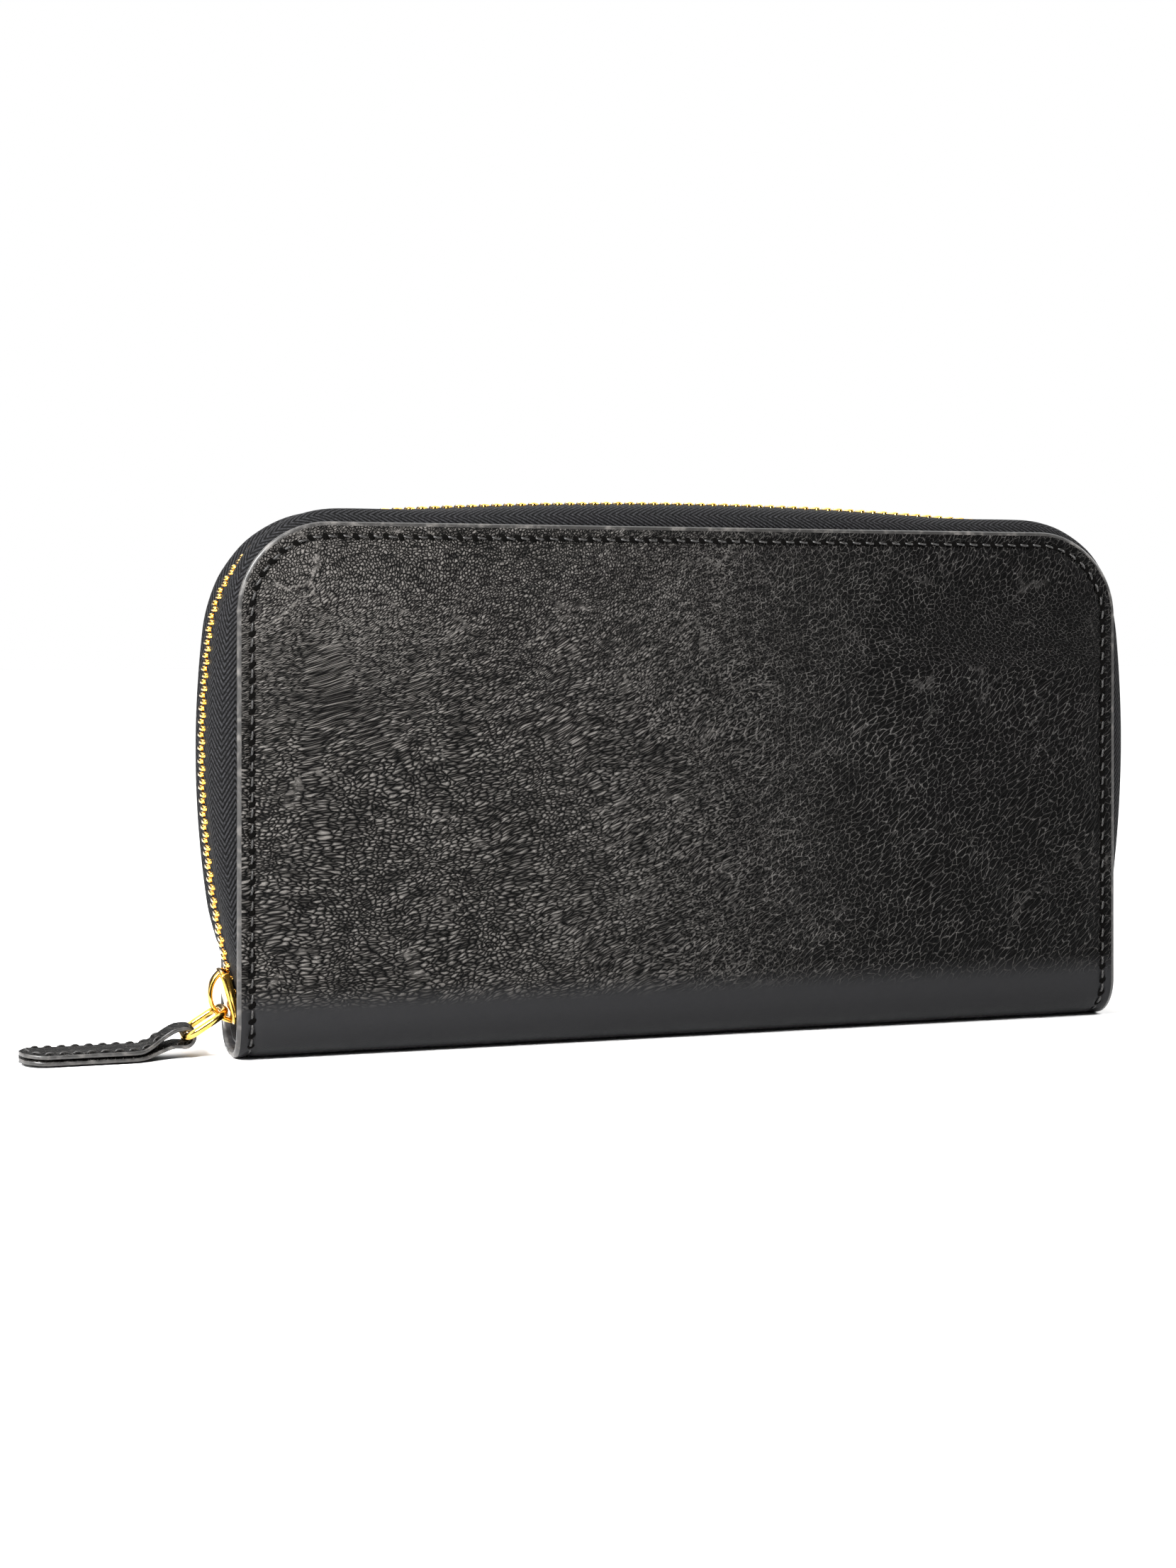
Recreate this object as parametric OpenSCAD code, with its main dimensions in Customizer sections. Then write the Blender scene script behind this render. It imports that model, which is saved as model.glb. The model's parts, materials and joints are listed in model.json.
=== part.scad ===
// Zip around wallet: two padded covers on a U-shaped spine, closed by one metal zip
// that runs up one end, over the top and down the other, with card slots, two note
// compartments and a zipped coin pocket inside.
// Frame: +X along the spine, -Y out of the front cover, +Z up. The origin is the
// centre of the spine's flat underside. Sizes are millimetres.

/* [Wallet] */
// Length of the covers and the spine
wallet_l = 190; // [180:1:210]
// Height from the spine's underside to the covers' top edge
wallet_h = 105; // [100:1:112]
// Thickness over the borders of both covers
wallet_t = 24; // [24:0.5:27]
// Radius of the covers' top corners
corner_r = 18; // [16:1:20]

/* [Covers] */
// Thickness of the cover leather
leather_t = 1.2; // [1:0.1:1.4]
// How far the padded field stands proud of the border
pad_rise = 1.2; // [0.8:0.1:1.6]
// Width of the stitched border around the padded field
border_w = 4; // [3:0.5:6]
// Width of the leather turned in around the foam
pad_skin = 1.5; // [1:0.1:2.5]
// Thickness of the stiffening board and of the zip tape sewn beside it
board_t = 0.6; // [0.5:0.1:0.6]
// Distance from the cover's edge to the board
board_inset = 13; // [12.5:0.5:16]
// Thickness of the lining
lining_t = 0.3; // [0.2:0.1:0.3]
// Distance from the cover's ends to the lining
lining_inset = 9; // [9:0.5:12]

/* [Spine] */
// Outer radius of the spine's bends, and the height of the covers' fold lines
spine_r = 8.5; // [8:0.5:9]
// Thickness of the spine leather
spine_leather_t = 1.4; // [1.2:0.1:1.5]
// Thickness of the reinforcing strip
reinforcement_t = 0.6; // [0.4:0.1:0.6]
// Thickness of the spine lining
spine_lining_t = 0.4; // [0.3:0.1:0.4]
// Gap between the spine and the covers along the fold lines
fold_gap = 0.3; // [0.2:0.1:0.5]

/* [Card slots] */
// Number of stepped card slots on each side
slot_count = 3; // [2:1:3]
// Thickness of one card slot strip
slot_t = 0.5; // [0.4:0.1:0.5]
// Half length of a card slot strip
slot_half_l = 88; // [84:1:88]
// Height of the tallest slot's top edge
slot_top_z = 84; // [80:1:86]
// Step down from one slot to the next
slot_step = 14; // [10:1:16]

/* [Coin pocket] */
// Half thickness of the coin pocket over its panels
coin_half_t = 3.7; // [3.5:0.1:3.7]
// Thickness of its panels and its side strip
coin_wall = 0.5; // [0.4:0.1:0.5]
// Half length of the coin pocket
coin_half_l = 84; // [82:1:84]
// Height of the panels' top edges
coin_panel_z = 83.5; // [80:0.5:83.5]
// Height of the coin zip's chain
coin_chain_z = 86.8; // [86.5:0.1:88]

/* [Gussets] */
// Thickness of the pleated gusset leather
gusset_t = 0.4; // [0.3:0.1:0.5]
// Height of the gussets' top edges
gusset_top_z = 82; // [70:1:84]

/* [Main zip] */
// How far the chain bulges past each end of the covers
side_bulge = 4.7; // [4:0.1:5]
// Height of the widest point of that bulge
side_mid_z = 60; // [58:1:62]
// Radius of the chain along each end
side_r = 186; // [180:1:200]
// How far the chain rises above the covers' top edge
top_bulge = 4.5; // [4:0.1:5]
// Radius of the chain along the top
top_r = 900; // [850:10:1000]
// Radius of the chain round the top corners
corner_path_r = 26; // [25:0.5:28]
// Thickness of the woven tape
tape_t = 0.6; // [0.5:0.1:0.6]
// Distance from the middle plane to the tape's beaded edge
tape_edge_y = 2; // [1.8:0.1:2.2]
// Radius at which the tape turns down into the cover
tape_bend_r = 6; // [5.5:0.5:6]
// Depth of the tape below the chain line where it ends inside the cover
tape_depth = 10; // [9:0.5:10]
// Height at which the tape's loose ends begin
tape_free_z = 22.5; // [22:0.5:26]
// Distance between neighbouring teeth on one tape
tooth_pitch = 2.6; // [2.5:0.1:3]
// Thickness of a tooth along the chain
tooth_w = 1.05; // [0.9:0.05:1.1]
// Height of a tooth across the tape
tooth_h = 2.3; // [2:0.1:2.4]
// How far a tooth reaches past the middle plane
tooth_nose = 0.9; // [0.7:0.1:0.9]
// How far a tooth's legs reach back over the tape
tooth_reach = 3.4; // [3.2:0.1:3.4]

/* [Slider and pull] */
// Height of the slider when the wallet is closed
slider_z = 12; // [12:0.5:13]
// Length of the slider
slider_l = 11; // [10:0.5:11]
// Thickness of the slider's plates
slider_plate_t = 1; // [0.8:0.1:1.1]
// Half width of the bridge that holds the ring
bridge_half_w = 1.7; // [1.4:0.1:2]
// Radius of the ring's wire
ring_wire_r = 0.7; // [0.6:0.05:0.7]
// Length of the ring between its two end bars' centres
ring_l = 9.1; // [9:0.1:9.5]
// Width of the ring between its side bars' centres
ring_w = 9; // [9:0.1:9.5]
// Angle of the ring below the horizontal at rest
ring_droop = 32; // [30:1:33]
// Length of the pull tab from the ring to its tip
tab_l = 31.5; // [28:0.5:34]
// Width of the pull tab
tab_w = 10.4; // [9:0.2:11]
// Thickness of the doubled tab
tab_t = 2.6; // [2.2:0.1:2.6]

/* [Coin zip] */
// Distance between neighbouring coin zip teeth on one tape
coin_pitch = 2; // [2:0.1:2.4]
// Length of the coin slider
coin_slider_l = 8; // [7:0.5:8]
// Length of the coin puller from its pivot
puller_l = 11; // [9:0.5:11]

/* [Hidden] */
$fn = 64;

leather = "#1b1b1d";
inner_leather = "#29282a";
lining = "#3a3836";
foam = "#d8d4c6";
board = "#b9a27e";
tape = "#141416";
gold = "#d9b04a";
eps = 0.01;

half_l = wallet_l / 2;
half_t = wallet_t / 2;
spine_flat = half_t - spine_r;
cover_z = spine_r + fold_gap;
pad_z = spine_r + border_w + 0.5;
chain_low_z = cover_z;
lining_end = spine_leather_t + reinforcement_t;
coin_z = lining_end + spine_lining_t + 0.1;

// Depths below the front border's outer face
lining_depth = leather_t + board_t;
slot_depth = lining_depth + lining_t;

// The chain's line lies in the XZ plane: an arc up each end, a tighter one round each
// top corner and a very flat one along the top, each tangent to the next.
side_c = [side_r - half_l - side_bulge, side_mid_z];
top_c = [0, wallet_h + top_bulge - top_r];
corner_c = meet(side_c, side_r - corner_path_r, top_c, top_r - corner_path_r);
side_phi = 180 - atan2(corner_c[1] - side_c[1], side_c[0] - corner_c[0]);
top_phi = 90 + atan2(top_c[0] - corner_c[0], corner_c[1] - top_c[1]);
function phi_at(z) = 180 + asin((side_mid_z - z) / side_r);
function arc_len(r, angle) = r * angle * PI / 180;
function turn(r, length) = length / r * 180 / PI;
// Left-hand crossing of two circles
function meet(c1, r1, c2, r2) =
    let (d = norm(c2 - c1), u = (c2 - c1) / d, a = (r1 * r1 - r2 * r2 + d * d) / (2 * d),
         h = sqrt(r1 * r1 - a * a))
    c1 + a * u + h * [u[1], -u[0]];

rest_phi = phi_at(slider_z);
teeth_phi = phi_at(slider_z + 1);
side_len = arc_len(side_r, teeth_phi - side_phi);
corner_len = arc_len(corner_path_r, side_phi - top_phi);
top_len = arc_len(top_r, 2 * (top_phi - 90));
chain_len = 2 * (side_len + corner_len) + top_len;
bottom_stop_s = chain_len - 5;
tooth_count = floor((bottom_stop_s - 2 * tooth_pitch) / tooth_pitch);

// Centre, radius and angle of the chain's line at a distance s from its left end
function chain_at(s) =
    s > chain_len / 2 ? opposite(chain_at(chain_len - s)) :
    s < side_len ? [side_c, side_r, teeth_phi - turn(side_r, s)] :
    s < side_len + corner_len ? [corner_c, corner_path_r, side_phi - turn(corner_path_r, s - side_len)] :
    [top_c, top_r, top_phi - turn(top_r, s - side_len - corner_len)];
function opposite(place) = [[-place[0][0], place[0][1]], place[1], 180 - place[2]];

// Slider sizes: half length, half width at the shoulder and the tail, half gap between
// the plates, plate thickness, where the lips begin, half gap between the lips, post radius
main_slider = [slider_l / 2, 4.6, 4.2, 1.5, slider_plate_t, 3.7, 0.75, 1.1];
small_slider = [coin_slider_l / 2, 3.4, 3.2, 1.15, 0.6, 2.85, 0.5, 0.6];

// The ring's bar hangs in the bridge, and the tab's eye on the ring's outer bar
bar_out = main_slider[3] + slider_plate_t + ring_wire_r + 0.2;
bar_down = 2.2;
out_dir = [cos(rest_phi), sin(rest_phi)];
down_dir = [-sin(rest_phi), cos(rest_phi)];
bar_in = side_c + (side_r + bar_out) * out_dir + bar_down * down_dir;
bar_tab = bar_in - ring_l * [cos(ring_droop), sin(ring_droop)];
eye_r = 1.15;
eye_wall = 1.2;
floor_gap = 0.1;

// Small parts of the coin zip
coin_slider_x = 6.5 - coin_half_l + coin_slider_l / 2;
coin_tape_t = 0.4;
coin_tape_edge_y = 1.4;
coin_tooth_w = 0.8;
puller_bar_r = 0.4;
puller_half_w = 1.9;

module along_x(length) {
    translate([-length / 2, 0, 0]) rotate([90, 0, 90]) linear_extrude(length) children();
}

module along_y(length) {
    rotate([90, 0, 0]) linear_extrude(length, center = true) children();
}

module rear() {
    mirror([0, 1, 0]) children();
}

module right() {
    mirror([1, 0, 0]) children();
}

module both_ends() {
    children();
    right() children();
}

// Outline of a panel in XZ, with rounded top corners
module panel_outline(half_w, z_low, z_high, r) {
    translate([-half_w, z_low]) square([2 * half_w, z_high - r - z_low]);
    translate([r - half_w, z_low]) square([2 * (half_w - r), z_high - z_low]);
    for (side = [-1, 1])
        translate([side * (half_w - r), z_high - r]) circle(r);
}

// A flat layer of the front half, whose depth counts inwards from the border's face
module layer(depth, thickness) {
    translate([0, depth + thickness / 2 - half_t, 0]) along_y(thickness) children();
}

module padding_block() {
    inset = border_w + pad_skin;
    layer(0, leather_t)
        panel_outline(half_l - inset, pad_z + pad_skin, wallet_h - inset, corner_r - inset);
}

module cover() {
    color(leather) difference() {
        union() {
            layer(0, leather_t) panel_outline(half_l, cover_z, wallet_h, corner_r);
            layer(-pad_rise, pad_rise)
                panel_outline(half_l - border_w, pad_z, wallet_h - border_w, corner_r - border_w);
        }
        padding_block();
    }
}

module padding() {
    color(foam) padding_block();
}

module stiffening_board() {
    color(board) layer(leather_t, board_t)
        panel_outline(half_l - board_inset, cover_z + 3, wallet_h - board_inset, 8);
}

module cover_lining() {
    color(lining) layer(lining_depth, lining_t)
        panel_outline(half_l - lining_inset, cover_z + 1, wallet_h - 5, corner_r);
}

module card_slot(index) {
    color(inner_leather) layer(slot_depth + index * slot_t, slot_t)
        panel_outline(slot_half_l, cover_z + 2, slot_top_z - index * slot_step, 3);
}

// The region inside the spine's outer face, at a given inset from it
module spine_area(inset) {
    intersection() {
        union() {
            translate([-spine_flat, inset]) square([2 * spine_flat, spine_r - inset]);
            for (side = [-1, 1])
                translate([side * spine_flat, spine_r]) circle(spine_r - inset);
        }
        translate([-half_t, 0]) square([wallet_t, spine_r]);
    }
}

module spine_layer(inset, thickness, length) {
    along_x(length) difference() {
        spine_area(inset);
        spine_area(inset + thickness);
    }
}

module spine_leather() {
    color(leather) spine_layer(0, spine_leather_t, wallet_l);
}

module spine_reinforcement() {
    color(board) translate([2 - half_l, -spine_flat, spine_leather_t])
        cube([wallet_l - 4, 2 * spine_flat, reinforcement_t]);
}

module spine_lining() {
    color(lining) spine_layer(lining_end, spine_lining_t, wallet_l - 3);
}

// Strip that joins the coin pocket's panels along the bottom and both ends
module coin_side_strip() {
    color(inner_leather) along_y(2 * (coin_half_t - coin_wall)) difference() {
        translate([-coin_half_l, coin_z]) square([2 * coin_half_l, coin_panel_z - coin_z]);
        translate([coin_wall - coin_half_l, coin_z + coin_wall])
            square([2 * (coin_half_l - coin_wall), coin_panel_z]);
    }
}

module coin_panel() {
    color(inner_leather) translate([-coin_half_l, -coin_half_t, coin_z])
        cube([2 * coin_half_l, coin_wall, coin_panel_z - coin_z]);
}

module coin_tape() {
    color(tape) along_x(2 * coin_half_l) union() {
        translate([-coin_half_t - coin_tape_t, coin_chain_z - coin_tape_t / 2])
            square([coin_half_t + coin_tape_t - coin_tape_edge_y, coin_tape_t]);
        translate([-coin_half_t - coin_tape_t, coin_panel_z - 6])
            square([coin_tape_t, coin_chain_z - coin_panel_z + 6]);
    }
}

// A tooth clamped on the tape's edge: x across the tape, -y back over it, z along it
module tooth(height, width, reach, nose, edge_y, slot) {
    difference() {
        union() {
            translate([-height / 2, -reach, -width / 2]) cube([height, reach + nose - width / 2, width]);
            translate([-height / 2, nose - width / 2, 0]) rotate([0, 90, 0])
                cylinder(r = width / 2, h = height, $fn = 24);
        }
        translate([-slot / 2, -reach - 1, -width]) cube([slot, reach + 1.1 - edge_y, 2 * width]);
    }
}

module coin_teeth(offset) {
    color(gold) for (x = [coin_slider_x + 1 + offset : coin_pitch : coin_half_l - 6])
        translate([x, 0, coin_chain_z]) rotate([0, -90, 0])
            tooth(1.7, coin_tooth_w, 2.5, 0.6, coin_tape_edge_y, coin_tape_t + 0.1);
}

module coin_end_stops() {
    color(gold) for (end = [-1, 1], side = [-1, 1]) difference() {
        translate([end * (coin_half_l - 3) - 0.75, side * 1.5 - 1, coin_chain_z - 0.8]) cube([1.5, 2, 1.6]);
        translate([end * (coin_half_l - 3) - 1, side > 0 ? coin_tape_edge_y - 0.1 : -3, coin_chain_z - 0.25])
            cube([2, 3.1 - coin_tape_edge_y, 0.5]);
    }
}

// Plan outline of a slider: its shoulder points along +y of the 2D plane
module slider_outline(s) {
    chamfer = s[0] / 4;
    polygon([[-s[2], -s[0]], [s[2], -s[0]], [s[1], 0], [s[1], s[0] - chamfer], [s[1] - chamfer, s[0]],
             [chamfer - s[1], s[0]], [-s[1], s[0] - chamfer], [-s[1], 0]]);
}

// Slider with x out of the chain and z towards its shoulder
module slider_shell(s) {
    half_gap = s[3];
    for (side = [0, 1]) mirror([side, 0, 0]) {
        translate([half_gap, 0, 0]) rotate([90, 0, 90]) linear_extrude(s[4]) slider_outline(s);
        translate([s[6], 0, 0]) rotate([90, 0, 90]) linear_extrude(half_gap + eps - s[6]) difference() {
            slider_outline(s);
            square([2 * s[5], 3 * s[0]], center = true);
        }
    }
    translate([-half_gap - eps, 0, s[0] - 2 * s[7]]) rotate([0, 90, 0])
        cylinder(r = s[7], h = 2 * (half_gap + eps));
}

// Arched bridge on a slider's outer plate: its opening is half_open long and rise high
module bridge_arch(base, half_open, rise, wall, half_w) {
    inner_r = (half_open * half_open + rise * rise) / (2 * rise);
    half_foot = half_open + wall;
    outer_rise = rise + wall;
    outer_r = (half_foot * half_foot + outer_rise * outer_rise) / (2 * outer_rise);
    intersection() {
        along_y(2 * half_w) difference() {
            translate([base + outer_rise - outer_r, 0]) circle(outer_r);
            translate([base + rise - inner_r, 0]) circle(inner_r);
        }
        translate([base, -half_w, -half_foot]) cube([outer_rise + 1, 2 * half_w, 2 * half_foot]);
    }
}

// Places x out of the main chain and z down along it, where the closed slider sits
module at_slider() {
    translate([side_c[0], 0, side_c[1]]) rotate([0, -rest_phi, 0]) translate([side_r, 0, 0]) children();
}

module slider_body() {
    color(gold) at_slider() slider_shell(main_slider);
}

module slider_bridge() {
    color(gold) at_slider()
        bridge_arch(main_slider[3] + slider_plate_t, 4.3, 2.4, 1, bridge_half_w);
}

// Rounded rectangular wire loop from x = 0 to length, bars along y
module wire_loop(length, width, r, wire_r) {
    for (x = [0, length])
        translate([x, 0, 0]) rotate([90, 0, 0]) cylinder(r = wire_r, h = width - 2 * r, center = true);
    for (side = [-1, 1])
        translate([length / 2, side * width / 2, 0]) rotate([0, 90, 0])
            cylinder(r = wire_r, h = length - 2 * r, center = true);
    for (quarter = [0 : 3]) {
        x = quarter == 0 || quarter == 3 ? length - r : r;
        y = quarter < 2 ? width / 2 - r : r - width / 2;
        translate([x, y, 0]) rotate([0, 0, 90 * quarter])
            rotate_extrude(angle = 90) translate([r, 0]) circle(wire_r, $fn = 32);
    }
}

module pull_ring() {
    color(gold) translate([bar_in[0], 0, bar_in[1]]) rotate([0, 180 - ring_droop, 0])
        wire_loop(ring_l, ring_w, 2.2, ring_wire_r);
}

// The tab is a folded strip: an eye around the ring, a slope down and a flat length
module tab_side() {
    eye_outer = eye_r + eye_wall;
    flat_x = bar_tab[0] - 8;
    difference() {
        union() {
            translate(bar_tab) circle(eye_outer);
            polygon([bar_tab + [0, eye_outer], bar_tab + [-1, eye_outer - 0.2], [flat_x, floor_gap + tab_t],
                     [flat_x, floor_gap], bar_tab + [-1.5, -eye_outer + 0.5], bar_tab - [0, eye_outer]]);
            translate([bar_tab[0] - tab_l, floor_gap]) square([flat_x + eps + tab_l - bar_tab[0], tab_t]);
        }
        translate(bar_tab) circle(eye_r);
    }
}

module tab_plan() {
    half_w = tab_w / 2;
    neck = ring_w / 2 - ring_wire_r - 0.4;
    polygon([[3, -neck], [3, neck], [-3.5, neck], [-9, half_w], [half_w - tab_l, half_w],
             [half_w - tab_l, -half_w], [-9, -half_w], [-3.5, -neck]]);
    translate([half_w - tab_l, 0]) circle(half_w);
}

module pull_tab() {
    color(leather) intersection() {
        along_y(tab_w + 2) tab_side();
        translate([bar_tab[0], 0, 0]) linear_extrude(20) tab_plan();
    }
}

module coin_slider() {
    color(gold) translate([coin_slider_x, 0, coin_chain_z]) rotate([0, -90, 0]) {
        slider_shell(small_slider);
        bridge_arch(small_slider[3] + small_slider[4] - eps, 2.6, 1.5, 0.6, 0.9);
    }
}

module coin_puller() {
    pivot_z = coin_chain_z + small_slider[3] + small_slider[4] + 0.2 + puller_bar_r;
    color(gold) translate([coin_slider_x, 0, pivot_z]) {
        rotate([90, 0, 0]) cylinder(r = puller_bar_r, h = 2 * puller_half_w, center = true);
        for (side = [-1, 1])
            translate([0, side * (puller_half_w - 0.35) - 0.35, -puller_bar_r])
                cube([4, 0.7, 2 * puller_bar_r]);
        translate([4 - eps, -puller_half_w, -puller_bar_r])
            cube([puller_l - 4, 2 * puller_half_w, 2 * puller_bar_r]);
    }
}

// Pleated gusset between a cover's lining and the coin pocket, at the front left
module gusset() {
    fold_out = -88.2;
    fold_in = -84.9;
    y_first = -8;
    y_step = 0.98;
    zigzag = [for (i = [0 : 4]) [i % 2 == 0 ? fold_in : fold_out, y_first + i * y_step]];
    half_skew = gusset_t / 2 * norm([fold_out - fold_in, y_step]) / y_step;
    near = [for (p = zigzag) p - [half_skew, 0]];
    far = [for (i = [4 : -1 : 0]) zigzag[i] + [half_skew, 0]];
    color(inner_leather) translate([0, 0, cover_z + 1])
        linear_extrude(gusset_top_z - cover_z - 1) polygon(concat(near, far));
}

// Sweeps a section round part of the chain's line: 2D x is out of the line and 2D y
// is the distance from the middle plane, towards the front
module sweep(centre, r, from, to) {
    translate([centre[0], 0, centre[1]]) rotate([90, 0, 0]) rotate([0, 0, from])
        rotate_extrude(angle = to - from, $fn = 180) translate([r, 0]) children();
}

module tape_section() {
    bend_y = half_t - leather_t - tape_t / 2 - tape_bend_r;
    translate([-tape_t / 2, tape_edge_y]) square([tape_t, bend_y - tape_edge_y]);
    translate([-tape_bend_r, bend_y]) intersection() {
        difference() {
            circle(tape_bend_r + tape_t / 2);
            circle(tape_bend_r - tape_t / 2);
        }
        square(tape_bend_r + tape_t);
    }
    translate([-tape_depth, bend_y + tape_bend_r - tape_t / 2])
        square([tape_depth - tape_bend_r, tape_t]);
}

// The tape is one woven length; its stretches here lie a hair apart round the corners
module zip_tape() {
    seam = 0.05;
    color(tape) {
        sweep(top_c, top_r, 180 - top_phi, top_phi) tape_section();
        both_ends() {
            sweep(corner_c, corner_path_r, top_phi + seam, side_phi - seam) tape_section();
            sweep(side_c, side_r, side_phi, phi_at(tape_free_z)) tape_section();
        }
    }
}

module tape_ends() {
    color(tape) both_ends()
        sweep(side_c, side_r, phi_at(tape_free_z), phi_at(chain_low_z)) tape_section();
}

module on_chain(s) {
    place = chain_at(s);
    translate([place[0][0], 0, place[0][1]]) rotate([0, -place[2], 0])
        translate([place[1], 0, 0]) children();
}

module zip_teeth(offset) {
    color(gold) for (i = [0 : tooth_count - 1])
        on_chain((i + offset) * tooth_pitch)
            tooth(tooth_h, tooth_w, tooth_reach, tooth_nose, tape_edge_y, tape_t + 0.1);
}

// Small clip on the tape's edge that ends the slider's run
module top_stop() {
    color(gold) at_slider() difference() {
        translate([-1.1, -3.4, 1.4]) cube([2.2, 2, 1.8]);
        translate([-tape_t / 2 - 0.05, -4, 1]) cube([tape_t + 0.1, 4.1 - tape_edge_y, 3]);
    }
}

module bottom_stop() {
    color(gold) on_chain(bottom_stop_s) difference() {
        cube([2.6, 7, 4], center = true);
        for (side = [0, 1]) mirror([0, side, 0])
            translate([-tape_t / 2 - 0.05, tape_edge_y - 0.1, -3]) cube([tape_t + 0.1, 3, 6]);
    }
}

spine_leather();
spine_reinforcement();
spine_lining();
coin_panel();  // coin_front_panel
rear() coin_panel();  // coin_rear_panel
coin_side_strip();
coin_tape();  // coin_front_tape
rear() coin_tape();  // coin_rear_tape
coin_teeth(0);  // coin_front_teeth
rear() coin_teeth(coin_pitch / 2);  // coin_rear_teeth
coin_end_stops();
coin_slider();
coin_puller();
gusset();  // gusset_front_left
right() gusset();  // gusset_front_right
rear() gusset();  // gusset_rear_left
right() rear() gusset();  // gusset_rear_right
cover();  // front_cover
padding();  // front_padding
stiffening_board();  // front_board
cover_lining();  // front_lining
for (i = [0 : slot_count - 1])
    card_slot(i);
zip_tape();  // front_zip_tape
tape_ends();  // front_tape_ends
zip_teeth(0);  // front_zip_teeth
top_stop();  // front_top_stop
rear() cover();  // rear_cover
rear() padding();  // rear_padding
rear() stiffening_board();  // rear_board
rear() cover_lining();  // rear_lining
for (i = [0 : slot_count - 1])
    rear() card_slot(i);
rear() zip_tape();  // rear_zip_tape
rear() tape_ends();  // rear_tape_ends
rear() zip_teeth(0.5);  // rear_zip_teeth
rear() top_stop();  // rear_top_stop
bottom_stop();  // zip_bottom_stop
slider_body();
slider_bridge();
pull_ring();
pull_tab();
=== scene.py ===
"""Zip around wallet in black creased calf with a gold-plated metal zip, dressed over its fixed frame."""
import json
import logging
import math
from dataclasses import dataclass
from enum import Enum
from functools import partial
from typing import Any, Callable, Sequence

import bmesh
import bpy
import numpy as np
from mathutils import Matrix, Vector, noise


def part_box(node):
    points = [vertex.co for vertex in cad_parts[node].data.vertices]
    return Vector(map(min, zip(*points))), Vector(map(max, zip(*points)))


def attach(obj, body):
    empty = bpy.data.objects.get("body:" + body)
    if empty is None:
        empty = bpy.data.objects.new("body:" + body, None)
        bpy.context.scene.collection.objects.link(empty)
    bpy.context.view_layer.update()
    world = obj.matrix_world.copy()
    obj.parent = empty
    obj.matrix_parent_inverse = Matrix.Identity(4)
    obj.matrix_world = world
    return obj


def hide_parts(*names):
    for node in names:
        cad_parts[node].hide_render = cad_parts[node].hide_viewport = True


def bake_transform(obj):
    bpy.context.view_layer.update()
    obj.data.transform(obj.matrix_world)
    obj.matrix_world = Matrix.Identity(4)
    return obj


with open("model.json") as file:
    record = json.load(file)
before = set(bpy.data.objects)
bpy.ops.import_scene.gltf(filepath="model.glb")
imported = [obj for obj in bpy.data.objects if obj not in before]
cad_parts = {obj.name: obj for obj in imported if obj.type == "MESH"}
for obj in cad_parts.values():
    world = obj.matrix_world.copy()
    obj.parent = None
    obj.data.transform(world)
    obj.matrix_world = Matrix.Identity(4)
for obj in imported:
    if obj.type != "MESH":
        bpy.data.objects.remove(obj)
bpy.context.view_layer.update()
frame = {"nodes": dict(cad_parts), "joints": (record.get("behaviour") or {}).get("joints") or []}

LOG = logging.getLogger("wallet")
MM = 0.001
CUT = "cut"            # Attribute: where a point lay on the flat cut piece, in metres
FACE_OUT = "face_out"  # Attribute: the surface's outward direction along a sewing line
SMOOTH = "SMOOTHSTEP"
TO_EDGE = "DISTANCE_TO_EDGE"
CRISP_DEGREES = 60.0  # Edges of strips sharper than this stay crisp
INNER_STITCH = (1.9, 0.16, 0.06, 0.3)  # Length, radius, rise and sink of a seam's stitch inside
INNER_PITCH = 2.6  # Distance between those stitches
COVER_CORNER = 18.0  # Radius of the covers' top corners in millimetres
JOINTS = {joint["name"]: joint for joint in frame["joints"]}

Array = np.ndarray
Object = bpy.types.Object
Material = bpy.types.Material
NodeTree = bpy.types.NodeTree
Node = bpy.types.Node
Socket = bpy.types.NodeSocket
AddNode = Callable[..., Node]


class Half(Enum):
    """The two halves of the wallet; the value is the sign of their outward Y."""

    FRONT = -1
    REAR = 1

    @property
    def body(self) -> str:
        """Name of the half's body."""
        return f"{self.label}_half"

    @property
    def label(self) -> str:
        """Word that starts the names of the half's pieces."""
        return self.name.lower()


def mm_box(node: str) -> tuple[Array, Array]:
    """Box of a frame node in millimetres.

    Args:
        node: Name of the node.

    Returns:
        The lowest and the highest corner.
    """
    low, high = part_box(node)
    return np.array(low) / MM, np.array(high) / MM


def pivot(joint: str) -> Array:
    """Point that a joint turns about, in millimetres."""
    return np.array(JOINTS[joint]["pos_m"]) / MM


def smooth(x: Any, start: float, end: float) -> Any:
    """Smooth step from 0 at start to 1 at end."""
    t = np.clip((np.asarray(x, float) - start) / (end - start), 0, 1)
    return t * t * (3 - 2 * t)


def ripple(points: Array, period: float, seed: float) -> Array:
    """Smooth noise from about -1 to 1.

    Args:
        points: Places in millimetres, one row each with two columns.
        period: Size of the noise's features in millimetres.
        seed: Offset that picks another part of the noise.

    Returns:
        One value for each point.
    """
    return np.array([noise.noise(Vector((a / period, b / period, seed))) for a, b in points])


def run_along(line: Array) -> Array:
    """Distance of each point of a line from its first one."""
    return np.concatenate([[0], np.cumsum(np.linalg.norm(np.diff(line, axis=0), axis=1))])


def left_of(line: Array) -> Array:
    """Unit directions square to a line in its plane, on its left hand."""
    ahead = np.gradient(line, axis=0)
    ahead /= np.linalg.norm(ahead, axis=1)[:, None]
    return np.column_stack([-ahead[:, 1], ahead[:, 0]])


def there_and_back(values: Any) -> list[Any]:
    """Values in order and then in reverse, for the two faces of a strip."""
    return [*values, *values[::-1]]


# ---------------------------------------------------------------- meshes


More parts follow.
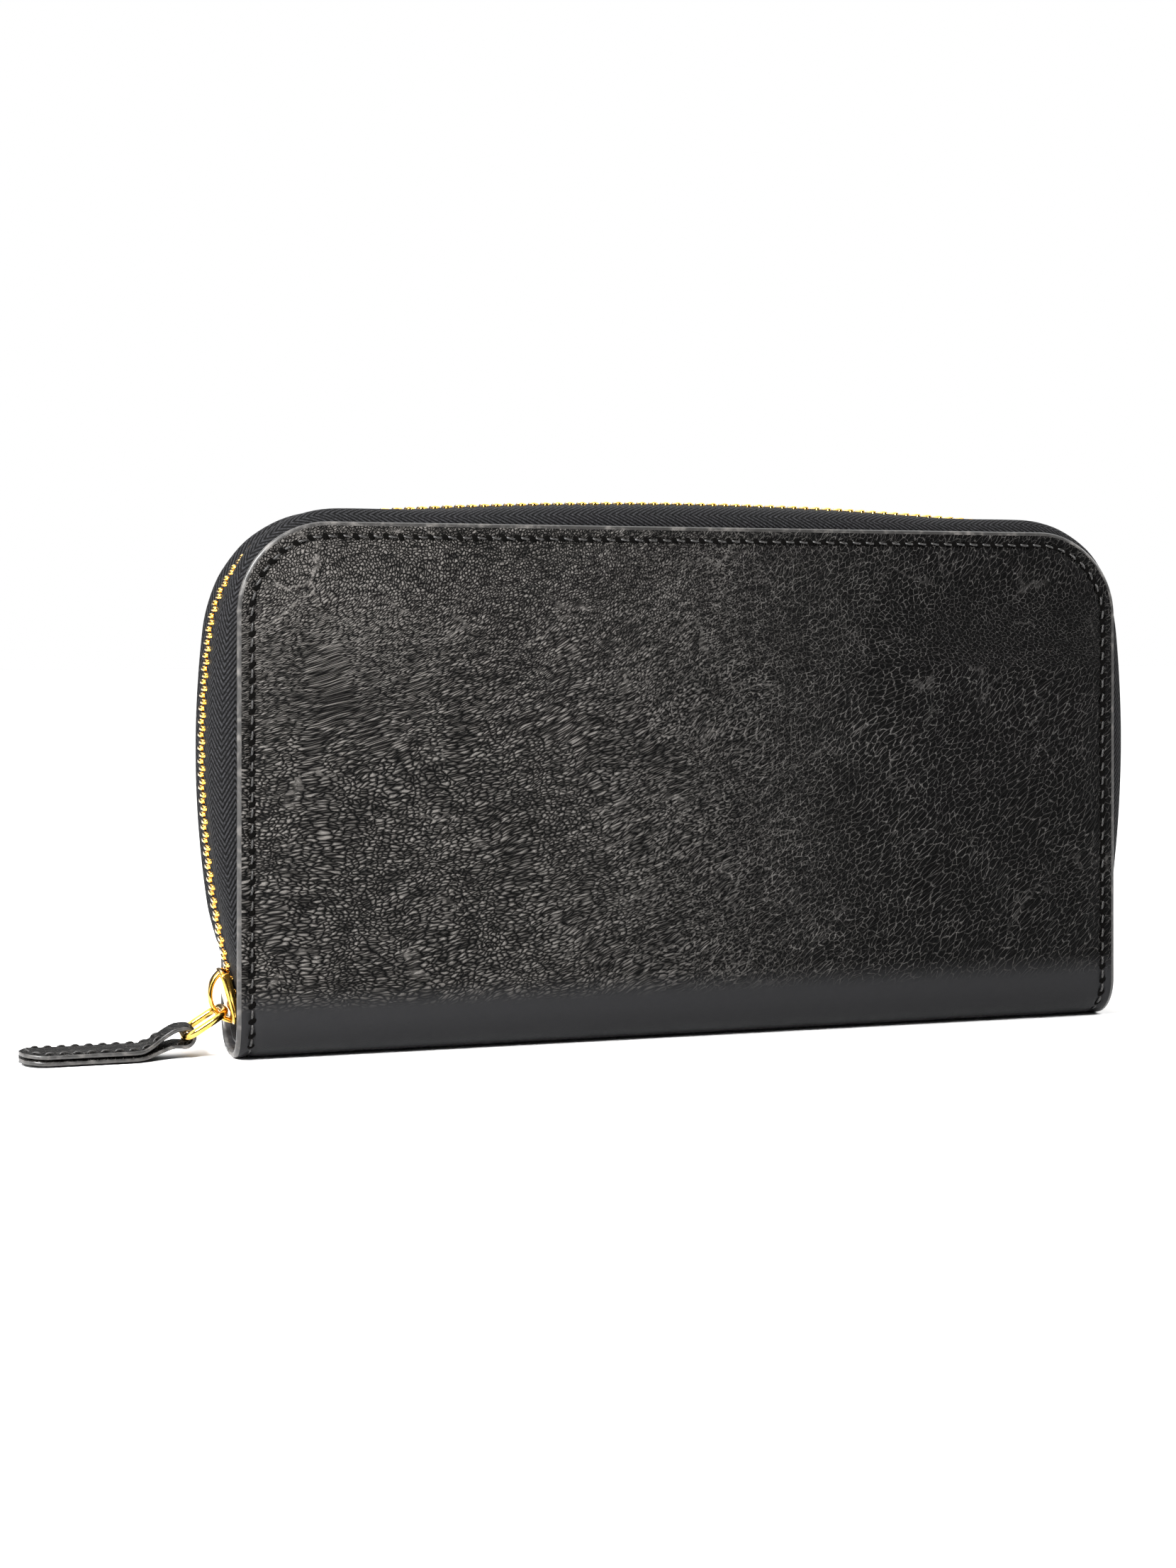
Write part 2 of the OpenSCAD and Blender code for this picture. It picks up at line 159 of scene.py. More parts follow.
def make_piece(name: str, points: Array, faces: Sequence[Sequence[int]], finishes: Sequence[Material],
               face_finish: Sequence[int] | None = None, cut: Array | None = None,
               merge: float = 0.002) -> Object:
    """Makes a closed mesh piece from points in millimetres.

    Args:
        name: Name of the piece.
        points: One row of X, Y, Z for each point.
        faces: Corners of each face, as indices of points.
        finishes: Materials of the piece.
        face_finish: Index of each face's material, or none for the first everywhere.
        cut: Place of each point on the flat cut piece in millimetres, or none for its own place.
        merge: Distance in millimetres below which points become one.

    Returns:
        The new object, with its place in its mesh.
    """
    mesh = bpy.data.meshes.new(name)
    mesh.from_pydata((np.asarray(points, float) * MM).tolist(), [], [list(map(int, f)) for f in faces])
    for finish in finishes:
        mesh.materials.append(finish)
    if face_finish is not None:
        mesh.polygons.foreach_set("material_index", np.asarray(face_finish, np.int32))
    flat = np.asarray(points if cut is None else cut, float) * MM
    attribute = mesh.attributes.new(CUT, "FLOAT_VECTOR", "POINT")
    attribute.data.foreach_set("vector", flat.astype(np.float32).ravel())
    work = bmesh.new()
    work.from_mesh(mesh)
    bmesh.ops.remove_doubles(work, verts=work.verts, dist=merge * MM)
    bmesh.ops.dissolve_degenerate(work, edges=work.edges, dist=merge * MM / 4)
    bmesh.ops.recalc_face_normals(work, faces=work.faces)
    work.to_mesh(mesh)
    work.free()
    mesh.shade_smooth()
    piece = bpy.data.objects.new(name, mesh)
    bpy.context.scene.collection.objects.link(piece)
    return piece


def join(name: str, pieces: Sequence[Object]) -> Object:
    """Joins pieces into one object under a new name."""
    bpy.ops.object.select_all(action="DESELECT")
    for piece in pieces:
        piece.select_set(True)
    bpy.context.view_layer.objects.active = pieces[0]
    bpy.ops.object.join()
    pieces[0].name = name
    pieces[0].data.name = name
    return pieces[0]


def loft(sections: Array, closed: bool = False) -> list[list[int]]:
    """Faces between closed sections of equal size, with end caps unless the row of sections is closed.

    Args:
        sections: Array of section, corner, coordinate.
        closed: Whether the last section joins the first.

    Returns:
        The faces, as indices into the sections' points in order.
    """
    rows, size = sections.shape[:2]
    faces = []
    for row in range(rows if closed else rows - 1):
        here, there = row * size, (row + 1) % rows * size
        for k in range(size):
            n = (k + 1) % size
            faces.append([here + k, here + n, there + n, there + k])
    if not closed:
        faces.append(list(range(size - 1, -1, -1)))
        faces.append([(rows - 1) * size + k for k in range(size)])
    return faces


def loft_piece(name: str, sections: Any, finishes: Sequence[Material], cuts: Any = None,
               face_finish: Sequence[int] | None = None, closed: bool = False,
               merge: float = 0.0005) -> Object:
    """Makes a piece between sections of equal size.

    Args:
        name: Name of the piece.
        sections: Array of section, corner, coordinate in millimetres.
        finishes: Materials of the piece.
        cuts: Place of each point on the flat cut piece, in the same order, or none.
        face_finish: Index of each face's material, or none for the first everywhere.
        closed: Whether the last section joins the first.
        merge: Distance in millimetres below which points become one.

    Returns:
        The piece.
    """
    sections = np.asarray(sections, float)
    flat = None if cuts is None else np.asarray(cuts, float).reshape(-1, 3)
    faces = loft(sections, closed)
    return make_piece(name, sections.reshape(-1, 3), faces, finishes, face_finish, flat, merge)


def stand_for(piece: Object, body: str, slot: str, *nodes: str) -> Object:
    """Fixes a piece to a body and hides the frame nodes it stands for.

    Args:
        piece: The piece.
        body: Name of the body it moves with.
        slot: Name of its finish slot; not used.
        *nodes: Names of the nodes it stands for, if any.

    Returns:
        The same piece.
    """
    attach(piece, body)
    if nodes:
        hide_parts(*nodes)
    return piece


def crease_edges(piece: Object, degrees: float) -> None:
    """Keeps edges sharper than an angle crisp under smooth shading."""
    bpy.ops.object.select_all(action="DESELECT")
    piece.select_set(True)
    bpy.context.view_layer.objects.active = piece
    bpy.ops.object.shade_smooth_by_angle(angle=math.radians(degrees))


# ---------------------------------------------------------------- finishes


def linear(colour: str) -> tuple[float, float, float, float]:
    """Turns an sRGB hex colour into linear RGBA."""
    parts = [int(colour[i:i + 2], 16) / 255 for i in (1, 3, 5)]
    return (*[c / 12.92 if c <= 0.04045 else ((c + 0.055) / 1.055) ** 2.4 for c in parts], 1.0)


def scale_for(size_mm: float) -> float:
    """Scale input that gives a pattern features of a size in millimetres."""
    return 1 / (size_mm * MM)


def set_inputs(tree: NodeTree, node: Node, inputs: dict[Any, Any]) -> None:
    """Sets or links a node's inputs.

    Args:
        tree: The tree that holds the node.
        node: The node.
        inputs: Value, linked output or linked node for each input, by the input's name or number.
            A linked node gives its first output.
    """
    for key, value in inputs.items():
        if isinstance(value, Node):
            value = value.outputs[0]
        if isinstance(value, Socket):
            tree.links.new(value, node.inputs[key])
        else:
            node.inputs[key].default_value = value


def add_node(tree: NodeTree, kind: str, inputs: dict[Any, Any] | None = None, **settings: Any) -> Node:
    """Adds a node with its settings and links.

    Args:
        tree: The tree that gets the node.
        kind: The node's type name.
        inputs: The node's inputs, as set_inputs takes them.
        **settings: Properties of the node.

    Returns:
        The new node.
    """
    node = tree.nodes.new(kind)
    for key, value in settings.items():
        setattr(node, key, value)
    set_inputs(tree, node, inputs or {})
    return node


@dataclass(frozen=True)
class Finish:
    """Base of every finish: a material of one Principled shader, coloured and raised by a pattern."""

    name: str = "finish"
    colour: str = "#808080"  # Where the pattern's shade is 0
    second: str = "#808080"  # Where it is 1
    relief: tuple[float, float] = (0.3, 0.1)  # Strength, and height in millimetres
    sunk: bool = False  # Whether the pattern's high values lie low

    def material(self) -> Material:
        """Returns the finish's material, made once."""
        known = bpy.data.materials.get(self.name)
        if known:
            return known
        material = bpy.data.materials.new(self.name)
        material.use_nodes = True
        tree = material.node_tree
        add = partial(add_node, tree)
        look = self.look(add)
        if "Shade" in look:
            shade = look.pop("Shade")
            tint = add("ShaderNodeMix", {0: shade, 6: linear(self.colour), 7: linear(self.second)},
                       data_type="RGBA")
            look["Base Color"] = tint.outputs[2]
        if "Height" in look:
            height = look.pop("Height")
            strength, depth = self.relief
            look["Normal"] = add("ShaderNodeBump",
                                 {"Strength": strength, "Distance": depth * MM, "Height": height},
                                 invert=self.sunk)
        set_inputs(tree, tree.nodes["Principled BSDF"], look)
        return material

    def look(self, add: AddNode) -> dict[str, Any]:
        """Adds the pattern's nodes.

        Args:
            add: Adds a node to the material's tree, as add_node does.

        Returns:
            The shader's inputs by name. Shade mixes the two colours and Height raises the relief.
        """
        raise NotImplementedError


@dataclass(frozen=True)
class CreasedCalf(Finish):
    """Wax-finished calf: drum-dyed black, boarded to a fine crackle; the high grain is coloured lighter,
    partly as burnish and partly as a painted highlight on the ridges.
    """

    name: str = "black_calf_wax_finished"
    valley: str = "#020202"
    grain: str = "#5f5c59"      # High grain at the left end, lighter as painted light
    grain_far: str = "#565452"  # High grain at the right end, darker as painted shade
    skin: str = "#232324"       # The smooth band over the spine
    cell_mm: float = 0.6        # Size of one grain cell
    net_mm: float = 1.15        # Size of the looser wrinkle net at the right end
    streak_mm: float = 0.75
    patch_mm: float = 13.0      # Size of the patches that hold more or less dye
    crease_mm: float = 12.0     # Distance between the long creases
    crease_tone: float = 0.38
    roughness: float = 0.3
    smooth_below_mm: float = 12.0  # The band over the spine is stretched smooth below this height
    relief: tuple[float, float] = (1.0, 0.45)
    specular: float = 0.04      # Low, so that a white room's reflection doesn't lift the black

    def flow(self, add: AddNode, place: Socket, along: Socket, up: Socket) -> Node:
        """Place on the hide along its grain, which lies level at the left end and climbs to the right end."""
        from_left = add("ShaderNodeMath", {0: along, 1: 0.095}, operation="ADD")
        climb = add("ShaderNodeMath", {0: from_left, 1: from_left}, operation="MULTIPLY")
        level = add("ShaderNodeMath", {0: climb, 1: -2.2, 2: up}, operation="MULTIPLY_ADD")
        drift = add("ShaderNodeTexNoise", {"Vector": place, "Scale": scale_for(20), "Detail": 2.0})
        wander = add("ShaderNodeVectorMath", {0: drift.outputs["Color"], "Scale": 0.006}, operation="SCALE")
        # Cells are drawn out along the grain, least of all in the top corners and at the right end
        corner = add("ShaderNodeMapRange", {0: up, 1: 0.055, 2: 0.095, 3: 0.4, 4: 0.95},
                     interpolation_type=SMOOTH)
        far = add("ShaderNodeMapRange", {0: along, 1: -0.06, 2: 0.04, 3: 0.0, 4: 0.7},
                  interpolation_type=SMOOTH)
        stretch = add("ShaderNodeMath", {0: corner, 1: far}, operation="MAXIMUM")
        squeezed = add("ShaderNodeMath", {0: along, 1: stretch}, operation="MULTIPLY")
        depth = add("ShaderNodeSeparateXYZ", {0: place}).outputs["Z"]
        laid = add("ShaderNodeCombineXYZ", {"X": squeezed, "Y": level, "Z": depth})
        return add("ShaderNodeVectorMath", {0: laid, 1: wander}, operation="ADD")

    def grain_height(self, add: AddNode, place: Socket, flow: Node, side: Node, patches: Node) -> Node:
        """Height of the grain from 0 to 1: pillows at the left end, a net at the right one, long creases."""
        jitter = add("ShaderNodeTexNoise", {"Vector": flow, "Scale": scale_for(0.8), "Detail": 2.0})
        shake = add("ShaderNodeVectorMath", {0: jitter.outputs["Color"], "Scale": 0.0007}, operation="SCALE")
        spot = add("ShaderNodeVectorMath", {0: flow, 1: shake}, operation="ADD")
        cells = add("ShaderNodeTexVoronoi", {"Vector": spot, "Scale": scale_for(self.cell_mm)},
                    feature=TO_EDGE, voronoi_dimensions="2D")
        pillow = add("ShaderNodeMapRange", {0: cells, 1: 0.03, 2: 0.42}, interpolation_type=SMOOTH)
        net = add("ShaderNodeTexVoronoi", {"Vector": spot, "Scale": scale_for(self.net_mm)},
                  feature=TO_EDGE, voronoi_dimensions="2D")
        ridge = add("ShaderNodeMapRange", {0: net, 1: 0.0, 2: 0.12, 3: 1.0, 4: 0.0},
                    interpolation_type=SMOOTH)
        low_pillow = add("ShaderNodeMath", {0: pillow, 1: 0.05}, operation="MULTIPLY")
        net_grain = add("ShaderNodeMath", {0: ridge, 1: low_pillow}, operation="MAXIMUM")
        grain = add("ShaderNodeMix", {0: side, 2: pillow, 3: net_grain})
        sway = add("ShaderNodeTexNoise", {"Vector": place, "Scale": scale_for(6), "Detail": 3.0})
        bent = add("ShaderNodeVectorMath", {0: sway.outputs["Color"], 1: (0.008,) * 3, 2: flow},
                   operation="MULTIPLY_ADD")
        creases = add("ShaderNodeTexVoronoi", {"Vector": bent, "Scale": scale_for(self.crease_mm)},
                      feature=TO_EDGE, voronoi_dimensions="2D")
        line = add("ShaderNodeMapRange", {0: creases, 1: 0.0, 2: 0.035, 3: self.crease_tone, 4: 0.0},
                   interpolation_type=SMOOTH)
        shown = add("ShaderNodeMapRange", {0: patches, 1: 0.48, 2: 0.62}, interpolation_type=SMOOTH)
        crease = add("ShaderNodeMath", {0: line, 1: shown}, operation="MULTIPLY")
        return add("ShaderNodeMath", {0: grain, 1: crease}, operation="MAXIMUM")

    def lightness(self, add: AddNode, along: Socket, up: Socket, patches: Node, streaks: Node) -> Node:
        """How light the high grain is: low patches hold the dye, the top-left corner is lighter as a painted
        highlight, and the right end is darker as painted shade.
        """
        wear = add("ShaderNodeMapRange", {0: patches, 1: 0.3, 2: 0.7, 3: 0.75, 4: 1.15},
                   interpolation_type=SMOOTH)
        streak = add("ShaderNodeMapRange", {0: streaks, 1: 0.36, 2: 0.64, 3: 0.3, 4: 1.5},
                     interpolation_type=SMOOTH)
        # Painted highlight: the high grain lightens in the top-left corner
        end = add("ShaderNodeMapRange", {0: along, 1: -0.04, 2: -0.08}, interpolation_type=SMOOTH)
        top = add("ShaderNodeMapRange", {0: up, 1: 0.06, 2: 0.092, 3: 0.0, 4: 1.1},
                  interpolation_type=SMOOTH)
        # Painted shade: the high grain darkens towards the right end
        painted_shade_right = add("ShaderNodeMapRange", {0: along, 1: -0.02, 2: 0.08, 3: 1.0, 4: 0.55},
                   interpolation_type=SMOOTH)
        place = add("ShaderNodeMath", {0: end, 1: top, 2: painted_shade_right}, operation="MULTIPLY_ADD")
        streaked = add("ShaderNodeMath", {0: wear, 1: streak}, operation="MULTIPLY")
        return add("ShaderNodeMath", {0: streaked, 1: place}, operation="MULTIPLY")

    def look(self, add: AddNode) -> dict[str, Any]:
        """Lays the grain, colours it, dulls its valleys and raises it."""
        place = add("ShaderNodeAttribute", attribute_name=CUT).outputs["Vector"]
        split = add("ShaderNodeSeparateXYZ", {0: place})
        along, up = split.outputs["X"], split.outputs["Y"]
        flow = self.flow(add, place, along, up)
        side = add("ShaderNodeMapRange", {0: along, 1: -0.05, 2: 0.05}, interpolation_type=SMOOTH)
        patches = add("ShaderNodeTexNoise",
                      {"Vector": place, "Scale": scale_for(self.patch_mm), "Detail": 3.0})
        drawn = add("ShaderNodeVectorMath", {0: flow, 1: (0.4, 1.0, 1.0)}, operation="MULTIPLY")
        streaks = add("ShaderNodeTexNoise",
                      {"Vector": drawn, "Scale": scale_for(self.streak_mm), "Detail": 3.0})
        height = self.grain_height(add, place, flow, side, patches)
        light = self.lightness(add, along, up, patches, streaks)
        # The high grain's lightness: random dye and rubbing, plus painted highlight and painted shade
        wear_and_painted_light = add("ShaderNodeMath", {0: height, 1: light}, operation="MULTIPLY")
        # Painted shade: the high grain's colour darkens from the left end to the right end
        high = add("ShaderNodeMix", {0: side, 6: linear(self.grain), 7: linear(self.grain_far)},
                   data_type="RGBA")
        field = add("ShaderNodeMix", {0: wear_and_painted_light, 6: linear(self.valley), 7: high.outputs[2]}, data_type="RGBA")
        band = add("ShaderNodeMapRange",
                   {0: up, 1: (self.smooth_below_mm - 3) * MM, 2: (self.smooth_below_mm + 3) * MM},
                   interpolation_type=SMOOTH)
        tint = add("ShaderNodeMix", {0: band, 6: linear(self.skin), 7: field.outputs[2]}, data_type="RGBA")
        # The wax fills the grain unevenly, so the gloss drifts; the valleys stay dull
        wax = add("ShaderNodeTexNoise", {"Vector": place, "Scale": scale_for(9), "Detail": 3.0})
        gloss = add("ShaderNodeMapRange",
                    {0: wax, 1: 0.25, 2: 0.75, 3: self.roughness - 0.05, 4: self.roughness + 0.08},
                    interpolation_type=SMOOTH)
        dull = add("ShaderNodeMath", {0: height, 1: -0.15, 2: 0.15}, operation="MULTIPLY_ADD")
        matt = add("ShaderNodeMath", {0: gloss, 1: dull}, operation="ADD")
        pores = add("ShaderNodeTexNoise", {"Vector": place, "Scale": scale_for(0.3), "Detail": 2.0})
        rolled = add("ShaderNodeMath", {0: streaks, 1: 1.6, 2: height}, operation="MULTIPLY_ADD")
        relief = add("ShaderNodeMath", {0: rolled, 1: band}, operation="MULTIPLY")
        bumped = add("ShaderNodeMath", {0: pores, 1: 0.12, 2: relief}, operation="MULTIPLY_ADD")
        return {"Base Color": tint.outputs[2], "Roughness": matt, "Height": bumped,
                "Specular IOR Level": self.specular}


@dataclass(frozen=True)
class PaintedEdge(Finish):
    """Raw leather edge, sanded, painted and burnished: dark and softly glossy with a slight ripple."""

    name: str = "leather_edge_paint_burnished"
    colour: str = "#2b2a29"
    second: str = "#565350"
    ripple_mm: float = 2.2
    relief: tuple[float, float] = (0.3, 0.15)

    def look(self, add: AddNode) -> dict[str, Any]:
        """Mottles the paint where it has rubbed thin."""
        place = add("ShaderNodeAttribute", attribute_name=CUT).outputs["Vector"]
        mottle = add("ShaderNodeTexNoise",
                     {"Vector": place, "Scale": scale_for(self.ripple_mm), "Detail": 4.0})
        rub = add("ShaderNodeMapRange", {0: mottle, 1: 0.45, 2: 0.75}, interpolation_type=SMOOTH)
        gloss = add("ShaderNodeMapRange", {0: mottle, 1: 0.3, 2: 0.7, 3: 0.28, 4: 0.48},
                    interpolation_type=SMOOTH)
        return {"Shade": rub, "Roughness": gloss, "Height": mottle}


@dataclass(frozen=True)
class PebbledLeather(Finish):
    """Thin chrome-tanned leather of the inside: plated with a fine pebble, satin."""

    name: str = "inner_leather_pebbled"
    colour: str = "#1c1b1c"
    second: str = "#2c2a2a"
    pebble_mm: float = 0.9
    cloud_mm: float = 14.0
    roughness: float = 0.48
    relief: tuple[float, float] = (0.35, 0.2)
    sunk: bool = True

    def look(self, add: AddNode) -> dict[str, Any]:
        """Raises pebbles between fine furrows."""
        place = add("ShaderNodeAttribute", attribute_name=CUT).outputs["Vector"]
        cells = add("ShaderNodeTexVoronoi", {"Vector": place, "Scale": scale_for(self.pebble_mm)},
                    feature="SMOOTH_F1")
        cloud = add("ShaderNodeTexNoise",
                    {"Vector": place, "Scale": scale_for(self.cloud_mm), "Detail": 3.0})
        shade = add("ShaderNodeMapRange", {0: cloud, 1: 0.3, 2: 0.7}, interpolation_type=SMOOTH)
        gloss = add("ShaderNodeMapRange",
                    {0: cells, 1: 0.1, 2: 0.7, 3: self.roughness - 0.08, 4: self.roughness + 0.1},
                    interpolation_type=SMOOTH)
        return {"Shade": shade, "Roughness": gloss, "Height": cells}


@dataclass(frozen=True)
class WovenTwill(Finish):
    """Woven polyester: twill lines in herringbone rows, dark dyed, dull with a faint thread shine."""

    name: str = "zip_tape_herringbone_twill"
    colour: str = "#010101"
    second: str = "#343436"
    thread_mm: float = 1.3   # Drawn coarser than the 0.3 mm weave, so that it shows
    rib_mm: float = 2.6      # Width of one herringbone row
    slant: float = 1.6       # How far a thread runs along for each step across
    fuzz_mm: float = 0.5
    roughness: float = 0.62
    relief: tuple[float, float] = (0.6, 0.45)

    def look(self, add: AddNode) -> dict[str, Any]:
        """Draws slanting threads that turn back at each row."""
        place = add("ShaderNodeAttribute", attribute_name=CUT).outputs["Vector"]
        split = add("ShaderNodeSeparateXYZ", {0: place})
        row = add("ShaderNodeMath", {0: split.outputs["Y"], 1: self.rib_mm * MM}, operation="PINGPONG")
        slanted = add("ShaderNodeMath", {0: row, 1: self.slant, 2: split.outputs["X"]},
                      operation="MULTIPLY_ADD")
        phase = add("ShaderNodeMath", {0: slanted, 1: 2 * math.pi / (self.thread_mm * MM)},
                    operation="MULTIPLY")
        sine = add("ShaderNodeMath", {0: phase}, operation="SINE")
        wave = add("ShaderNodeMath", {0: sine, 1: 0.5, 2: 0.5}, operation="MULTIPLY_ADD")
        fuzz = add("ShaderNodeTexNoise", {"Vector": place, "Scale": scale_for(self.fuzz_mm), "Detail": 3.0})
        loose = add("ShaderNodeMapRange", {0: fuzz, 1: 0.3, 2: 0.7, 3: 0.25, 4: 1.0},
                    interpolation_type=SMOOTH)
        mixed = add("ShaderNodeMath", {0: wave, 1: loose}, operation="MULTIPLY")
        gloss = add("ShaderNodeMapRange",
                    {0: fuzz, 1: 0.2, 2: 0.8, 3: self.roughness - 0.06, 4: self.roughness + 0.1},
                    interpolation_type=SMOOTH)
        return {"Shade": mixed, "Roughness": gloss, "Height": mixed, "Specular IOR Level": 0.05}


@dataclass(frozen=True)
class GoldPlate(Finish):
    """Zinc and brass parts, tumbled bright and flash-plated with gold: a clean mirror with faint swirls."""

    name: str = "gold_plate_polished"
    colour: str = "#e6bd62"
    second: str = "#c9953a"
    swirl_mm: float = 1.2
    roughness: float = 0.13
    relief: tuple[float, float] = (0.08, 0.05)

    def look(self, add: AddNode) -> dict[str, Any]:
        """Varies the polish slightly over the surface."""
        place = add("ShaderNodeTexCoord").outputs["Object"]
        swirl = add("ShaderNodeTexNoise",
                    {"Vector": place, "Scale": scale_for(self.swirl_mm), "Detail": 4.0})
        shade = add("ShaderNodeMapRange", {0: swirl, 1: 0.35, 2: 0.75}, interpolation_type=SMOOTH)
        gloss = add("ShaderNodeMapRange",
                    {0: swirl, 1: 0.3, 2: 0.7, 3: self.roughness - 0.04, 4: self.roughness + 0.07},
                    interpolation_type=SMOOTH)
        return {"Shade": shade, "Roughness": gloss, "Metallic": 1.0, "Height": swirl}


@dataclass(frozen=True)
class WaxedThread(Finish):
    """Bonded polyester sewing thread, twisted: fine slanting strands with a waxy shine."""

    name: str = "sewing_thread_bonded"
    colour: str = "#0d0d0e"
    second: str = "#2a2826"
    twist_mm: float = 0.5
    relief: tuple[float, float] = (0.4, 0.05)

    def look(self, add: AddNode) -> dict[str, Any]:
        """Winds the strands across the thread."""
        place = add("ShaderNodeTexCoord").outputs["Object"]
        waves = add("ShaderNodeTexWave",
                    {"Vector": place, "Scale": 0.5 / (self.twist_mm * MM), "Distortion": 1.0},
                    bands_direction="DIAGONAL")
        strands = waves.outputs["Fac"]
        return {"Shade": strands, "Roughness": 0.45, "Height": strands}


@dataclass(frozen=True)
class AwlHole(Finish):
    """Painted shadow in an awl hole: dead matt and nearly black, with a faint speckle of raw fibres."""

    name: str = "awl_hole_raw_fibre"
    colour: str = "#000000"
    second: str = "#0a0908"
    fibre_mm: float = 0.2

    def look(self, add: AddNode) -> dict[str, Any]:
        """Speckles the hole with fibres."""
        place = add("ShaderNodeTexCoord").outputs["Object"]
        speck = add("ShaderNodeTexNoise", {"Vector": place, "Scale": scale_for(self.fibre_mm)})
        return {"Shade": speck, "Roughness": 1.0, "Specular IOR Level": 0.05}


@dataclass(frozen=True)
class LiningCloth(Finish):
    """Plain-woven polyester lining: crossed threads in charcoal with a soft satin shine."""

    name: str = "lining_cloth_plain_weave"
    colour: str = "#2a2928"
    second: str = "#1a1a1a"
    thread_mm: float = 0.6  # Drawn coarser than the 0.2 mm weave, so that it shows
    slub_mm: float = 6.0
    relief: tuple[float, float] = (0.4, 0.1)

    def look(self, add: AddNode) -> dict[str, Any]:
        """Crosses two sets of threads."""
        place = add("ShaderNodeAttribute", attribute_name=CUT).outputs["Vector"]
        turned = add("ShaderNodeVectorMath", {0: place, "Scale": 2 * math.pi / (self.thread_mm * MM)},
                     operation="SCALE")
        crossed = add("ShaderNodeVectorMath", {0: turned}, operation="SINE")
        split = add("ShaderNodeSeparateXYZ", {0: crossed})
        both = add("ShaderNodeMath", {0: split.outputs["X"], 1: split.outputs["Y"]}, operation="MULTIPLY")
        weave = add("ShaderNodeMapRange", {0: both, 1: -1.0, 2: 1.0}, interpolation_type=SMOOTH)
        slub = add("ShaderNodeTexNoise", {"Vector": place, "Scale": scale_for(self.slub_mm), "Detail": 3.0})
        gloss = add("ShaderNodeMapRange", {0: slub, 1: 0.3, 2: 0.7, 3: 0.42, 4: 0.6},
                    interpolation_type=SMOOTH)
        return {"Shade": weave, "Roughness": gloss, "Height": weave}


@dataclass(frozen=True)
class FibreBoard(Finish):
    """Pressed leather fibre board: tan, dry, with short felted fibres."""

    name: str = "fibreboard_pressed"
    colour: str = "#a98d66"
    second: str = "#7d6546"
    fibre_mm: float = 1.4
    relief: tuple[float, float] = (0.3, 0.1)

    def look(self, add: AddNode) -> dict[str, Any]:
        """Felts stretched flecks together."""
        place = add("ShaderNodeTexCoord").outputs["Object"]
        fleck = add("ShaderNodeTexNoise",
                    {"Vector": place, "Scale": scale_for(self.fibre_mm), "Detail": 6.0, "Distortion": 2.0})
        shade = add("ShaderNodeMapRange", {0: fleck, 1: 0.35, 2: 0.65}, interpolation_type=SMOOTH)
        return {"Shade": shade, "Roughness": 0.85, "Height": fleck}


@dataclass(frozen=True)
class FoamSheet(Finish):
    """Closed-cell foam sheet: off-white, matt, with small burst cells."""

    name: str = "foam_closed_cell"
    colour: str = "#b3aa92"
    second: str = "#d8d2c0"
    relief: tuple[float, float] = (0.4, 0.1)
    cell_mm: float = 0.7

    def look(self, add: AddNode) -> dict[str, Any]:
        """Pits the surface with cells."""
        place = add("ShaderNodeTexCoord").outputs["Object"]
        cells = add("ShaderNodeTexVoronoi", {"Vector": place, "Scale": scale_for(self.cell_mm)})
        shade = add("ShaderNodeMapRange", {0: cells, 1: 0.2, 2: 0.8}, interpolation_type=SMOOTH)
        return {"Shade": shade, "Roughness": 0.9, "Height": cells}


@dataclass(frozen=True)
class SeamlessPaper(Finish):
    """Studio background paper: pale and matt."""

    name: str = "studio_paper"
    colour: str = "#f4f4f4"

    def look(self, add: AddNode) -> dict[str, Any]:
        """Sets the paper's plain colour."""
        return {"Base Color": linear(self.colour), "Roughness": 0.9, "Specular IOR Level": 0.05}


# ---------------------------------------------------------------- rows along a path


